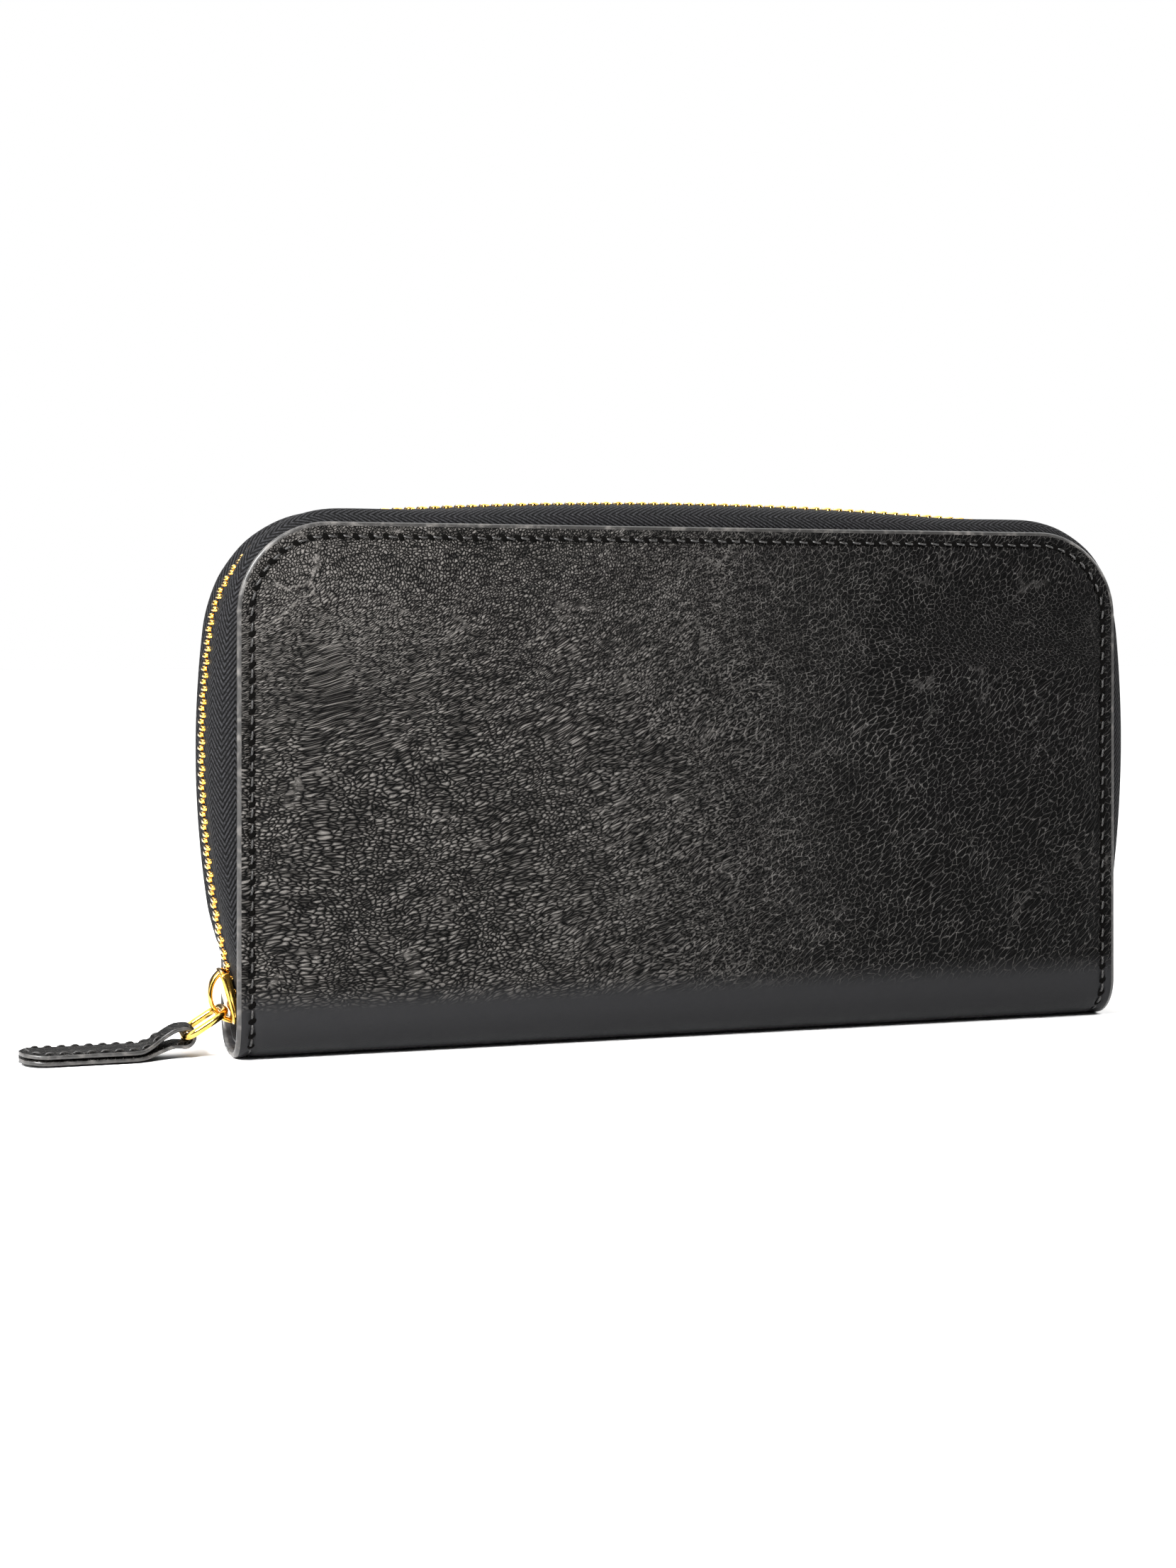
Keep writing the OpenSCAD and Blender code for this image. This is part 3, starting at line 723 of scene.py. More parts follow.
class RowAlongPath:
    """Geometry Nodes tree that lays copies of one item along a path at an even pitch."""

    name = "row_along_path"

    def __init__(self) -> None:
        """Builds the tree once."""
        tree = bpy.data.node_groups.new(self.name, "GeometryNodeTree")
        face = tree.interface
        face.new_socket("Geometry", in_out="OUTPUT", socket_type="NodeSocketGeometry")
        face.new_socket("Geometry", in_out="INPUT", socket_type="NodeSocketGeometry")
        sockets = {"Item": "NodeSocketObject", "Pitch": "NodeSocketFloat", "Turn": "NodeSocketFloat",
                   "Shake": "NodeSocketFloat", "Seed": "NodeSocketInt", "Finish": "NodeSocketMaterial"}
        for socket, kind in sockets.items():
            face.new_socket(socket, in_out="INPUT", socket_type=kind)
        add = partial(add_node, tree)
        given = add("NodeGroupInput").outputs
        curve = add("GeometryNodeMeshToCurve", {"Mesh": given["Geometry"]})
        length = add("GeometryNodeCurveLength", {0: curve})
        steps = add("ShaderNodeMath", {0: length, 1: given["Pitch"]}, operation="DIVIDE")
        whole = add("ShaderNodeMath", {0: steps}, operation="ROUND")
        count = add("ShaderNodeMath", {0: whole, 1: 1.0}, operation="ADD")
        places = add("GeometryNodeResampleCurve", {"Curve": curve, "Count": count}, mode="COUNT")
        tangent = add("GeometryNodeInputTangent")
        outward = add("GeometryNodeInputNamedAttribute", {"Name": FACE_OUT}, data_type="FLOAT_VECTOR")
        axes = add("FunctionNodeAxesToRotation", {0: tangent, 1: outward},
                   primary_axis="X", secondary_axis="Z")
        low = add("ShaderNodeMath", {0: given["Turn"], 1: given["Shake"]}, operation="SUBTRACT")
        high = add("ShaderNodeMath", {0: given["Turn"], 1: given["Shake"]}, operation="ADD")
        chance = add("FunctionNodeRandomValue", {2: low, 3: high, "Seed": given["Seed"]}, data_type="FLOAT")
        turn = add("ShaderNodeCombineXYZ", {"Z": chance.outputs[1]})
        euler = add("FunctionNodeEulerToRotation", {0: turn})
        turned = add("FunctionNodeRotateRotation", {0: axes, 1: euler}, rotation_space="LOCAL")
        item = add("GeometryNodeObjectInfo", {"Object": given["Item"]})
        rows = add("GeometryNodeInstanceOnPoints",
                   {"Points": places, "Instance": item.outputs["Geometry"], "Rotation": turned})
        real = add("GeometryNodeRealizeInstances", {0: rows})
        dressed = add("GeometryNodeSetMaterial", {"Geometry": real, "Material": given["Finish"]})
        add("NodeGroupOutput", {0: dressed})
        self.tree = tree

    def lay(self, name: str, paths: Sequence[tuple[Array, Array]], item: Object, pitch: float,
            finish: Material, turn: float = 0.0, shake: float = 0.0, seed: int = 1) -> Object:
        """Lays the item along paths and returns the row as a plain mesh.

        Args:
            name: Name of the new piece.
            paths: Points and outward directions of each path, in millimetres.
            item: The object to repeat, with X along the path and Z outwards. It isn't removed.
            pitch: Distance between copies in millimetres.
            finish: Material of the row.
            turn: Turn of each copy about its outward direction, in degrees.
            shake: Most that a copy's turn varies either way, in degrees.
            seed: Seed of that variation.

        Returns:
            The piece.
        """
        points = np.concatenate([p for p, _ in paths]) * MM
        outs = np.concatenate([o for _, o in paths])
        edges, first = [], 0
        for path, _ in paths:
            edges += [(first + i, first + i + 1) for i in range(len(path) - 1)]
            first += len(path)
        mesh = bpy.data.meshes.new(name)
        mesh.from_pydata(points.tolist(), edges, [])
        mesh.attributes.new(FACE_OUT, "FLOAT_VECTOR", "POINT").data.foreach_set(
            "vector", outs.astype(np.float32).ravel())
        base = bpy.data.objects.new(name, mesh)
        bpy.context.scene.collection.objects.link(base)
        modifier = base.modifiers.new("row", "NODES")
        modifier.node_group = self.tree
        values = {"Item": item, "Pitch": pitch * MM, "Turn": math.radians(turn), "Shake": math.radians(shake),
                  "Seed": seed, "Finish": finish}
        for socket in self.tree.interface.items_tree:
            if socket.in_out == "INPUT" and socket.name in values:
                modifier[socket.identifier] = values[socket.name]
        graph = bpy.context.evaluated_depsgraph_get()
        made = bpy.data.meshes.new_from_object(base.evaluated_get(graph))
        base.modifiers.clear()
        base.data = made
        made.name = name
        if FACE_OUT in made.attributes:
            made.attributes.remove(made.attributes[FACE_OUT])
        made.shade_smooth()
        return base


def loose_item(name: str, sections: Array) -> Object:
    """Makes a small object for a row from its sections in millimetres, outside the scene.

    Args:
        name: Name of the item.
        sections: Array of section, corner, coordinate.

    Returns:
        The object.
    """
    mesh = bpy.data.meshes.new(name)
    mesh.from_pydata((sections.reshape(-1, 3) * MM).tolist(), [], loft(sections))
    work = bmesh.new()
    work.from_mesh(mesh)
    bmesh.ops.recalc_face_normals(work, faces=work.faces)
    work.to_mesh(mesh)
    work.free()
    mesh.shade_smooth()
    return bpy.data.objects.new(name, mesh)


def stitch_item(length: float, radius: float, rise: float = 0.12, sink: float = 0.5) -> Object:
    """Makes one stitch: a short thread that arches over the leather and dives in at both ends."""
    steps, sides = 8, 6
    sections = []
    for i in range(steps + 1):
        u = 2 * i / steps - 1
        height = rise - (rise + sink) * abs(u) ** 3.2
        ring = []
        for k in range(sides):
            a = 2 * math.pi * k / sides
            ring.append((u * length / 2, radius * math.cos(a), height + radius * 0.85 * math.sin(a)))
        sections.append(ring)
    return loose_item("stitch", np.array(sections))


def awl_hole() -> Object:
    """Makes the painted shadow in one awl hole: a low dark lens, long across the seam."""
    half_l, half_w = 0.56, 0.9
    sections = []
    for height, size in ((-0.3, 0.75), (0.0, 1.0), (0.07, 0.72), (0.1, 0.3)):
        sections.append([(half_l * size * math.cos(a), half_w * size * math.sin(a), height)
                         for a in np.linspace(0, 2 * math.pi, 9)[:-1]])
    return loose_item("awl_hole", np.array(sections))


# ---------------------------------------------------------------- sheets with rounded corners


@dataclass
class RoundedSheet:
    """A panel cut with two rounded top corners, meshed in rings round its edge and a grid inside.

    Sizes are millimetres: x runs across and t up the flat cut piece.
    """

    half_w: float
    low: float
    high: float
    radius: float
    step: float = 1.0
    rim: tuple[float, ...] = (0.0, 0.07, 0.22, 0.45)
    seam_inset: float = 3.0  # Distance from the cut edge at which a corner's run is measured

    def __post_init__(self) -> None:
        """Works out the sample counts and lays out one layer."""
        # Where the corners' roundings start, along each side and along the top
        self.corner_t = self.high - self.radius
        self.corner_x = self.half_w - self.radius
        self.side_n = max(2, round((self.corner_t - self.low) / self.step))
        self.top_n = max(2, round(2 * self.corner_x / self.step))
        self.corner_n = max(6, round(self.radius * math.pi / 2 / self.step))
        inner = np.arange(self.rim[-1] + self.step * 0.6, self.radius - self.step * 0.4, self.step * 0.8)
        self.insets = [*self.rim, *inner, self.radius]
        rows = [self._ring(inset) for inset in self.insets]
        self.ring_size = len(rows[0])
        xs = np.linspace(-self.corner_x, self.corner_x, self.top_n + 1)
        ts = np.linspace(self.low, self.corner_t, self.side_n + 1)
        grid = np.array([(x, t) for t in ts for x in xs])
        self.flat = np.concatenate([*rows, grid])
        self.inset = self._inset(self.flat)
        self.inset[:len(self.insets) * self.ring_size] = np.repeat(self.insets, self.ring_size)
        self.faces, self.rim_faces = self._faces()

    def _ring(self, inset: float) -> Array:
        """Points of one ring, from the bottom left round to the bottom right."""
        x = self.half_w - inset
        side = [(-x, t) for t in np.linspace(self.low, self.corner_t, self.side_n + 1)]
        r = self.radius - inset
        corner = [(-self.corner_x - r * math.cos(a), self.corner_t + r * math.sin(a))
                  for a in np.linspace(0, math.pi / 2, self.corner_n + 1)[1:-1]]
        span = [(v, self.high - inset) for v in np.linspace(-self.corner_x, self.corner_x, self.top_n + 1)]
        left = side + corner
        return np.array(left + span + [(-a, b) for a, b in reversed(left)])

    def _inset(self, flat: Array) -> Array:
        """Distance inwards from the cut edge, leaving out the bottom one."""
        qx = np.abs(flat[:, 0]) - self.corner_x
        qt = flat[:, 1] - self.corner_t
        outside = np.hypot(np.maximum(qx, 0), np.maximum(qt, 0)) + np.minimum(np.maximum(qx, qt), 0)
        return self.radius - outside

    def _faces(self) -> tuple[list[list[int]], int]:
        """Faces of one layer, and how many of them lie on the rim."""
        size = self.ring_size
        faces = []
        rim = 0
        for ring in range(len(self.insets) - 1):
            for k in range(size - 1):
                a = ring * size + k
                faces.append([a, a + 1, a + size + 1, a + size])
            if ring < len(self.rim) - 1:
                rim = len(faces)
        base = len(self.insets) * size
        wide = self.top_n + 1
        for row in range(self.side_n):
            for col in range(self.top_n):
                a = base + row * wide + col
                faces.append([a, a + 1, a + wide + 1, a + wide])
        return faces, rim

    def edge_chains(self) -> tuple[list[int], list[int]]:
        """Indices along the cut edge, and along the open bottom from left to right."""
        size, rings = self.ring_size, len(self.insets)
        rim = list(range(size))
        base = rings * size
        bottom = [k * size for k in range(rings)] + [base + c for c in range(self.top_n + 1)]
        bottom += [k * size + size - 1 for k in reversed(range(rings))]
        return rim, bottom

    def run(self) -> Array:
        """Distance along the cut edge for each point, measured at a corner's own angle."""
        x, t = self.flat.T
        past_side = self.corner_x - np.abs(x)
        angle = np.arctan2(np.maximum(t - self.corner_t, 0), np.maximum(-past_side, 1e-9))
        corner = (self.radius - self.seam_inset) * angle
        above = (t > self.corner_t) | (self.inset < self.corner_t - t)
        over = np.where(above & (past_side > 0), past_side, 0)
        run = np.minimum(t, self.corner_t) + corner + over
        return np.where(x < 0, run, -run)

    def shell(self, name: str, outer: Array, inner: Array, face: Material, edge: Material,
              back: Material | None = None) -> Object:
        """Closes an outer and an inner layer into one piece.

        Args:
            name: Name of the piece.
            outer: Place of each point of the outer layer in millimetres.
            inner: Place of each point of the inner layer in millimetres.
            face: Material of the outer face.
            edge: Material of the cut edge.
            back: Material of the inner face, or none for the outer face's.

        Returns:
            The piece.
        """
        n = len(self.flat)
        faces = list(self.faces)
        finish = [1] * self.rim_faces + [0] * (len(self.faces) - self.rim_faces)
        faces += [[i + n for i in reversed(f)] for f in self.faces]
        finish += [1] * self.rim_faces + [2] * (len(self.faces) - self.rim_faces)
        for chain in self.edge_chains():
            faces += [[a, b, b + n, a + n] for a, b in zip(chain, chain[1:])]
            finish += [1] * (len(chain) - 1)
        flat = np.column_stack([self.flat, np.zeros(n)])
        return make_piece(name, np.concatenate([outer, inner]), faces, [face, edge, back or face], finish,
                          np.concatenate([flat, flat]))


def rim_round(inset: Array, radius: float = 0.45) -> Array:
    """Depth that a rounded edge falls away, at a distance from the cut edge."""
    near = np.clip(1 - inset / radius, 0, 1)
    return radius * (1 - np.sqrt(1 - near * near))


# ---------------------------------------------------------------- cover leather


@dataclass
class CoverLeather:
    """One half's outer leather: a padded cover that runs on under the spine to the middle."""

    half: Half
    stitch_inset: float = 2.9
    stitch_pitch: float = 3.0
    pad_rise: float = 1.3
    seam_depth: float = 0.3   # Depth of the channel that the thread pulls in
    hole_depth: float = 0.45  # Depth of an awl hole below it
    seam_w: float = 0.55      # Half width of the channel
    hole_w: float = 0.5       # Half width of a hole along the seam
    inner_y: float = 10.8     # Where the leather's inner face lies
    tug_mm: float = 2.6       # Size of the wrinkles beside the seam
    step: float = 0.8
    seed: float = 3.0

    def __post_init__(self) -> None:
        """Takes the sizes from the frame."""
        _, high = mm_box(f"{self.half.label}_cover")
        spine_low, _ = mm_box("spine_leather")
        self.half_w = high[0]
        self.top = high[2]
        self.fold = pivot(f"{self.half.label}_cover_open")
        self.spine_r = self.fold[2]
        self.half_t = -spine_low[1]
        self.flat_y = self.half_t - self.spine_r
        self.arc = self.spine_r * math.pi / 2
        self.low = self.spine_r - self.arc - self.flat_y
        self.leather = self.half_t - self.inner_y
        self.sheet = RoundedSheet(self.half_w, self.low, self.top, COVER_CORNER, self.step,
                                  rim=(0.0, 0.08, 0.28, 0.8))

    def place(self, flat: Array, depth: Array) -> Array:
        """Bends the flat cut piece round the spine.

        Args:
            flat: Points on the flat piece, x and t.
            depth: How far each point stands proud of the border's face.

        Returns:
            Points in the wallet's frame in millimetres.
        """
        x, t = flat[:, 0], flat[:, 1]
        s = self.spine_r - t
        a = np.clip(s / self.spine_r, 0, math.pi / 2)
        y = self.flat_y + (self.spine_r + depth) * np.cos(a)
        z = self.spine_r - (self.spine_r + depth) * np.sin(a) + np.maximum(t - self.spine_r, 0)
        y = np.where(s > self.arc, self.flat_y - (s - self.arc), y)
        z = np.where(s > self.arc, -depth, z)
        return np.column_stack([x, self.half.value * y, np.maximum(z, 0.0)])

    def relief(self) -> Array:
        """Height of the outer face over the border: edge, seam, puckers and padded field."""
        d, t, run = self.sheet.inset, self.sheet.flat[:, 1], self.sheet.run()
        past = np.maximum(d - self.stitch_inset, 0)
        lower = smooth(t, 8, 19)
        field = 1 - np.exp(-(past / 2.6) ** 1.25)
        wide = ripple(self.sheet.flat, 42, self.seed)
        soft = ripple(self.sheet.flat, 15, self.seed + 5)
        pad = field * (self.pad_rise + 0.22 * wide + 0.09 * soft) * (0.06 + 0.94 * lower)
        channel = ((d - self.stitch_inset) / self.seam_w) ** 2
        seam = -self.seam_depth * np.exp(-channel)
        phase = run / self.stitch_pitch
        gap = np.abs(phase - np.round(phase)) * self.stitch_pitch
        hole = -self.hole_depth * np.exp(-channel - (gap / self.hole_w) ** 2)
        tug = ripple(np.column_stack([run, d * 0.28]), self.tug_mm, self.seed + 9)
        near = np.exp(-past / 2.4) * (past > 0)
        far = np.exp(-past / 6.5) * (past > 0)
        topness = 0.6 + 0.4 * smooth(t, 60, 95)
        pucker = (-0.4 * near * np.cos(math.pi * phase) ** 2 + 0.5 * far * tug) * topness
        pucker *= smooth(past, 0, 1.2) * (0.25 + 0.75 * lower)
        border = 0.10 * np.sin(np.clip(d / self.stitch_inset, 0, 1) * math.pi)
        wobble = 0.05 * ripple(np.column_stack([run, d]), 5, self.seed + 2) * smooth(d, 0, 2)
        above = smooth(t, -5, 1)
        return (pad + pucker + border + wobble) * above + seam + hole - rim_round(d)

    def build(self) -> Object:
        """Makes the leather and hides the frame's cover and spine leather."""
        d, t = self.sheet.inset, self.sheet.flat[:, 1]
        outer = self.relief()
        pocket = smooth(d, 4.3, 5.4) * smooth(t, 13.0, 14.4)
        inner = -self.leather * (1 - pocket) + 0.02 * pocket + rim_round(d)
        calf, edge = CreasedCalf().material(), PaintedEdge().material()
        piece = self.sheet.shell(f"{self.half.label}_leather", self.place(self.sheet.flat, outer),
                                 self.place(self.sheet.flat, inner), calf, edge, PebbledLeather().material())
        self.bind(piece)
        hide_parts(f"{self.half.label}_cover", "spine_leather")
        return piece

    def bind(self, piece: Object) -> None:
        """Bakes a piece's transform into its mesh."""
        self.half.body
        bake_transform(piece)

    def stitch_path(self) -> tuple[Array, Array]:
        """Points and outward directions of the seam round the cover."""
        sheet = RoundedSheet(self.half_w, self.low + 5.5, self.top, COVER_CORNER, 0.5, rim=(0.0, 0.1))
        flat = sheet._ring(self.stitch_inset)
        # Under the wallet the seam lies in a groove, clear of the table
        groove = 0.06 + 0.4 * (1 - smooth(flat[:, 1], -1, 5))
        points = self.place(flat, -groove)
        further = self.place(flat, np.full(len(flat), 1.0))
        outs = further - points
        return points, outs / np.linalg.norm(outs, axis=1)[:, None]

    def sew(self, rows: RowAlongPath) -> Object:
        """Sews the seam round the cover: threads, and between them slanting dark lenses that paint the shadow
        in each awl hole.
        """
        points, outs = self.stitch_path()
        seam = rows.lay("seam", [(points, outs)], stitch_item(length=2.3, radius=0.26), self.stitch_pitch,
                        WaxedThread().material(), turn=-9, shake=4, seed=3)
        ahead = np.linalg.norm(np.diff(points, axis=0), axis=1).cumsum()
        first = int(np.searchsorted(ahead, self.stitch_pitch / 2)) + 1
        last = int(np.searchsorted(ahead, ahead[-1] - self.stitch_pitch / 2)) + 1
        # Painted shadow: a dark lens sits in each awl hole between the stitches
        holes = rows.lay("holes", [(points[first:last] + 0.06 * outs[first:last], outs[first:last])],
                         awl_hole(), self.stitch_pitch, AwlHole().material(), turn=38, shake=9, seed=4)
        piece = join(f"{self.half.label}_stitches", [seam, holes])
        self.bind(piece)
        return piece


# ---------------------------------------------------------------- main zip


@dataclass
class ChainLine:
    """The zip chain's line in the XZ plane: an arc up each end, tight corners and a flat top arc."""

    side_r: float = 186.0
    corner_r: float = 26.0
    top_r: float = 900.0
    tape_t: float = 0.6

    def __post_init__(self) -> None:
        """Finds the arcs' centres from the frame."""
        _, high = mm_box("front_zip_tape")
        self.side_c = pivot("slider_run")[[0, 2]]
        self.top_c = np.array([0.0, high[2] - self.tape_t / 2 - self.top_r])
        gap = self.top_c - self.side_c
        d = np.linalg.norm(gap)
        u = gap / d
        r1, r2 = self.side_r - self.corner_r, self.top_r - self.corner_r
        a = (r1 * r1 - r2 * r2 + d * d) / (2 * d)
        h = math.sqrt(r1 * r1 - a * a)
        self.corner_c = self.side_c + a * u + h * np.array([u[1], -u[0]])
        to_side = self.corner_c - self.side_c
        self.side_phi = math.atan2(to_side[1], to_side[0])
        to_top = self.corner_c - self.top_c
        self.top_phi = math.atan2(to_top[1], to_top[0])

    def phi_at(self, z: float) -> float:
        """Angle on the left end's arc at a height."""
        return math.pi + math.asin((self.side_c[1] - z) / self.side_r)

    def walk(self, z_low: float, step: float) -> tuple[Array, Array]:
        """Points and outward directions from one low end to the other.

        Args:
            z_low: Height at which the walk starts and ends.
            step: About how far apart the points are.

        Returns:
            Points and unit outward directions in the XZ plane, in order from the left end.
        """
        arcs = [(self.side_c, self.side_r, self.phi_at(z_low), self.side_phi),
                (self.corner_c, self.corner_r, self.side_phi, self.top_phi),
                (self.top_c, self.top_r, self.top_phi, math.pi / 2)]
        points, outs = [], []
        for centre, r, start, end in arcs:
            n = max(2, round(r * abs(start - end) / step))
            for angle in np.linspace(start, end, n + 1)[:-1]:
                out = np.array([math.cos(angle), math.sin(angle)])
                points.append(centre + r * out)
                outs.append(out)
        flip = np.array([-1, 1])
        points.append(self.top_c + self.top_r * np.array([0, 1.0]))
        outs.append(np.array([0, 1.0]))
        points += [p * flip for p in reversed(points[:-1])]
        outs += [o * flip for o in reversed(outs[:-1])]
        return np.array(points), np.array(outs)

    def stretch(self, start: float, end: float, z_low: float, step: float = 0.5) -> Array:
        """Points of the line between two distances from its low left end, in the XZ plane."""
        points, _ = self.walk(z_low, step)
        run = run_along(points)
        wanted = np.linspace(start, end, max(2, round((end - start) / step)))
        return np.column_stack([np.interp(wanted, run, points[:, k]) for k in (0, 1)])


@dataclass
class MainZip:
    """Tapes, teeth and stops of the zip that runs round the wallet."""

    line: ChainLine
    tooth_pitch: float = 2.6
    teeth: int = 135
    teeth_z: float = 13.0
    tape_low: float = 8.8
    edge_y: float = 2.0
    bend_y: float = 4.5
    puff_y: float = 4.8  # The puff starts here, outside the strip that the slider runs on
    cover_y: float = 10.5
    depth: float = 10.0
    half_t: float = 0.3

    def section(self, overhang: float) -> tuple[Array, Array]:
        """Middle line of the tape's section where the chain overhangs the cover's edge by a distance.

        Args:
            overhang: How far the chain line lies outside the cover's cut edge.

        Returns:
            Rows of height and distance from the middle plane, and the half thickness at each row.
        """
        drop = max(overhang + 1.3, 1.6)
        bead = [(0.0, self.edge_y + v) for v in (0.0, 0.12, 0.5, 0.95, 1.3, 1.6)]
        thick = [0.05, 0.42, 0.62, 0.58, 0.4, self.half_t]
        run = [(0.0, v) for v in np.linspace(self.edge_y + 2.0, self.bend_y, 3)]
        width = self.cover_y - self.bend_y
        turn = [(-drop * (1 - math.cos(a)), self.bend_y + width * math.sin(a))
                for a in np.linspace(0, math.pi / 2, 11)[1:]]
        leg = [(-h, self.cover_y) for h in np.linspace(drop, self.depth, 4)[1:]]
        rows = bead + run + turn + leg
        return np.array(rows), np.array(thick + [self.half_t] * (len(rows) - len(thick)))

    @staticmethod
    def puff(half: Half, x: float, z: float) -> float:
        """How far the tape puffs up beside the chain: most round the corners, less along the ends."""
        corner = float(smooth(abs(x), 48, 84) * smooth(z, 88, 101))
        end = float(smooth(abs(x), 90, 95) * smooth(z, 14, 30))
        return 1.8 * corner if half is Half.FRONT else 2.0 * corner + 1.3 * end * (1 - corner)

    def tape(self, half: Half) -> Object:
        """Weaves one half's tape along the whole line."""
        points, outs = self.line.walk(self.tape_low, 1.5)
        _, cover = mm_box("front_cover")
        corner = COVER_CORNER
        sections, cuts = [], []
        for (x, z), out, along in zip(points, outs, run_along(points)):
            qx, qz = abs(x) - (cover[0] - corner), z - (cover[2] - corner)
            overhang = math.hypot(max(qx, 0), max(qz, 0)) + min(max(qx, qz), 0) - corner
            rows, thick = self.section(overhang)
            normal = -left_of(rows) * thick[:, None]
            reach = np.clip((rows[:, 1] - self.puff_y) / (self.cover_y - self.puff_y), 0, 1)
            rows[:, 0] += self.puff(half, x, z) * np.sin(reach * math.pi)
            loop = np.concatenate([rows + normal, (rows - normal)[::-1]])
            sections.append([(x + out[0] * h, half.value * y, z + out[1] * h) for h, y in loop])
            cuts.append([(along, v, 0) for v in there_and_back(run_along(rows))])
        piece = loft_piece(f"{half.label}_tape", sections, [WovenTwill().material()], cuts)
        self.bind(piece, half)
        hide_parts(f"{half.label}_zip_tape", f"{half.label}_tape_ends")
        return piece

    @staticmethod
    def bind(piece: Object, half: Half) -> None:
        """Bakes a piece's transform into its mesh."""
        half.body
        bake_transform(piece)

    @staticmethod
    def tooth() -> Object:
        """Makes one tooth: X along the chain, Z towards the other tape, Y through the tape."""
        # Place towards the other tape, half width along the chain, half height through the tape
        rows = [(-3.4, 0.30, 0.75), (-3.2, 0.46, 1.0), (-2.2, 0.50, 1.12), (-0.6, 0.52, 1.15),
                (0.1, 0.52, 1.12), (0.45, 0.46, 1.0), (0.75, 0.34, 0.8), (0.9, 0.16, 0.5)]
        bevel = 0.42
        sections = []
        for z, w, h in rows:
            cw, ch = w * bevel, h * bevel * 0.6
            sections.append([(w, h - ch, z), (w - cw, h, z), (cw - w, h, z), (-w, h - ch, z),
                             (-w, ch - h, z), (cw - w, -h, z), (w - cw, -h, z), (w, ch - h, z)])
        return loose_item("tooth", np.array(sections))

    def chain(self, half: Half, rows: RowAlongPath) -> Object:
        """Clamps one half's teeth on its tape."""
        climb = (self.line.phi_at(self.tape_low) - self.line.phi_at(self.teeth_z)) * self.line.side_r
        start = climb + (0 if half is Half.FRONT else self.tooth_pitch / 2)
        flat = self.line.stretch(start, start + self.tooth_pitch * (self.teeth - 1), self.tape_low)
        points = np.column_stack([flat[:, 0], np.zeros(len(flat)), flat[:, 1]])
        outs = np.tile([0.0, -half.value, 0.0], (len(flat), 1))
        piece = rows.lay(f"{half.label}_teeth", [(points, outs)], self.tooth(), self.tooth_pitch,
                         GoldPlate().material(), shake=0.8, seed=5)
        self.bind(piece, half)
        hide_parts(f"{half.label}_zip_teeth")
        return piece


# ---------------------------------------------------------------- slider, ring and tab


def rounded_outline(corners: Sequence[tuple[float, float]], radius: float, steps: int = 5) -> Array:
    """Rounds the corners of a convex outline.

    Args:
        corners: The outline's corners in order.
        radius: Distance from each corner at which its rounding starts.
        steps: Points in each rounding.

    Returns:
        The rounded outline.
    """
    pts = np.array(corners, float)
    made = []
    for i, corner in enumerate(pts):
        before, after = pts[i - 1] - corner, pts[(i + 1) % len(pts)] - corner
        a = corner + before / np.linalg.norm(before) * min(radius, np.linalg.norm(before) / 2.1)
        b = corner + after / np.linalg.norm(after) * min(radius, np.linalg.norm(after) / 2.1)
        for u in np.linspace(0, 1, steps):
            made.append((1 - u) ** 2 * a + 2 * u * (1 - u) * corner + u * u * b)
    return np.array(made)


def rounded_slab(outline: Array, low: float, high: float, edge: float, steps: int = 4) -> Array:
    """Sections of a slab with rounded edges.

    Args:
        outline: The slab's outline.
        low: Height of its lower face.
        high: Height of its upper face.
        edge: Radius of its edges.
        steps: Sections in each rounding.

    Returns:
        Array of section, corner and (height, a, b).
    """
    centre = outline.mean(axis=0)
    size = np.abs(outline - centre).max(axis=0)
    sections = []
    angles = np.linspace(0, math.pi / 2, steps + 1)
    rings = [(low + edge * (1 - math.sin(a)), edge * (1 - math.cos(a))) for a in reversed(angles)]
    rings += [(high - edge * (1 - math.sin(a)), edge * (1 - math.cos(a))) for a in angles]
    for height, inset in rings:
        scale = (size - inset) / size
        ring = centre + (outline - centre) * scale
        sections.append(np.column_stack([np.full(len(ring), height), ring]))
    return np.array(sections)


@dataclass
class SliderSizes:
    """Sizes of a slider in millimetres, as its frame node has them."""

    half_l: float
    shoulder: float
    tail: float
    half_gap: float
    plate: float
    lip_y: float
    lip_gap: float
    post_r: float
    edge: float = 0.4


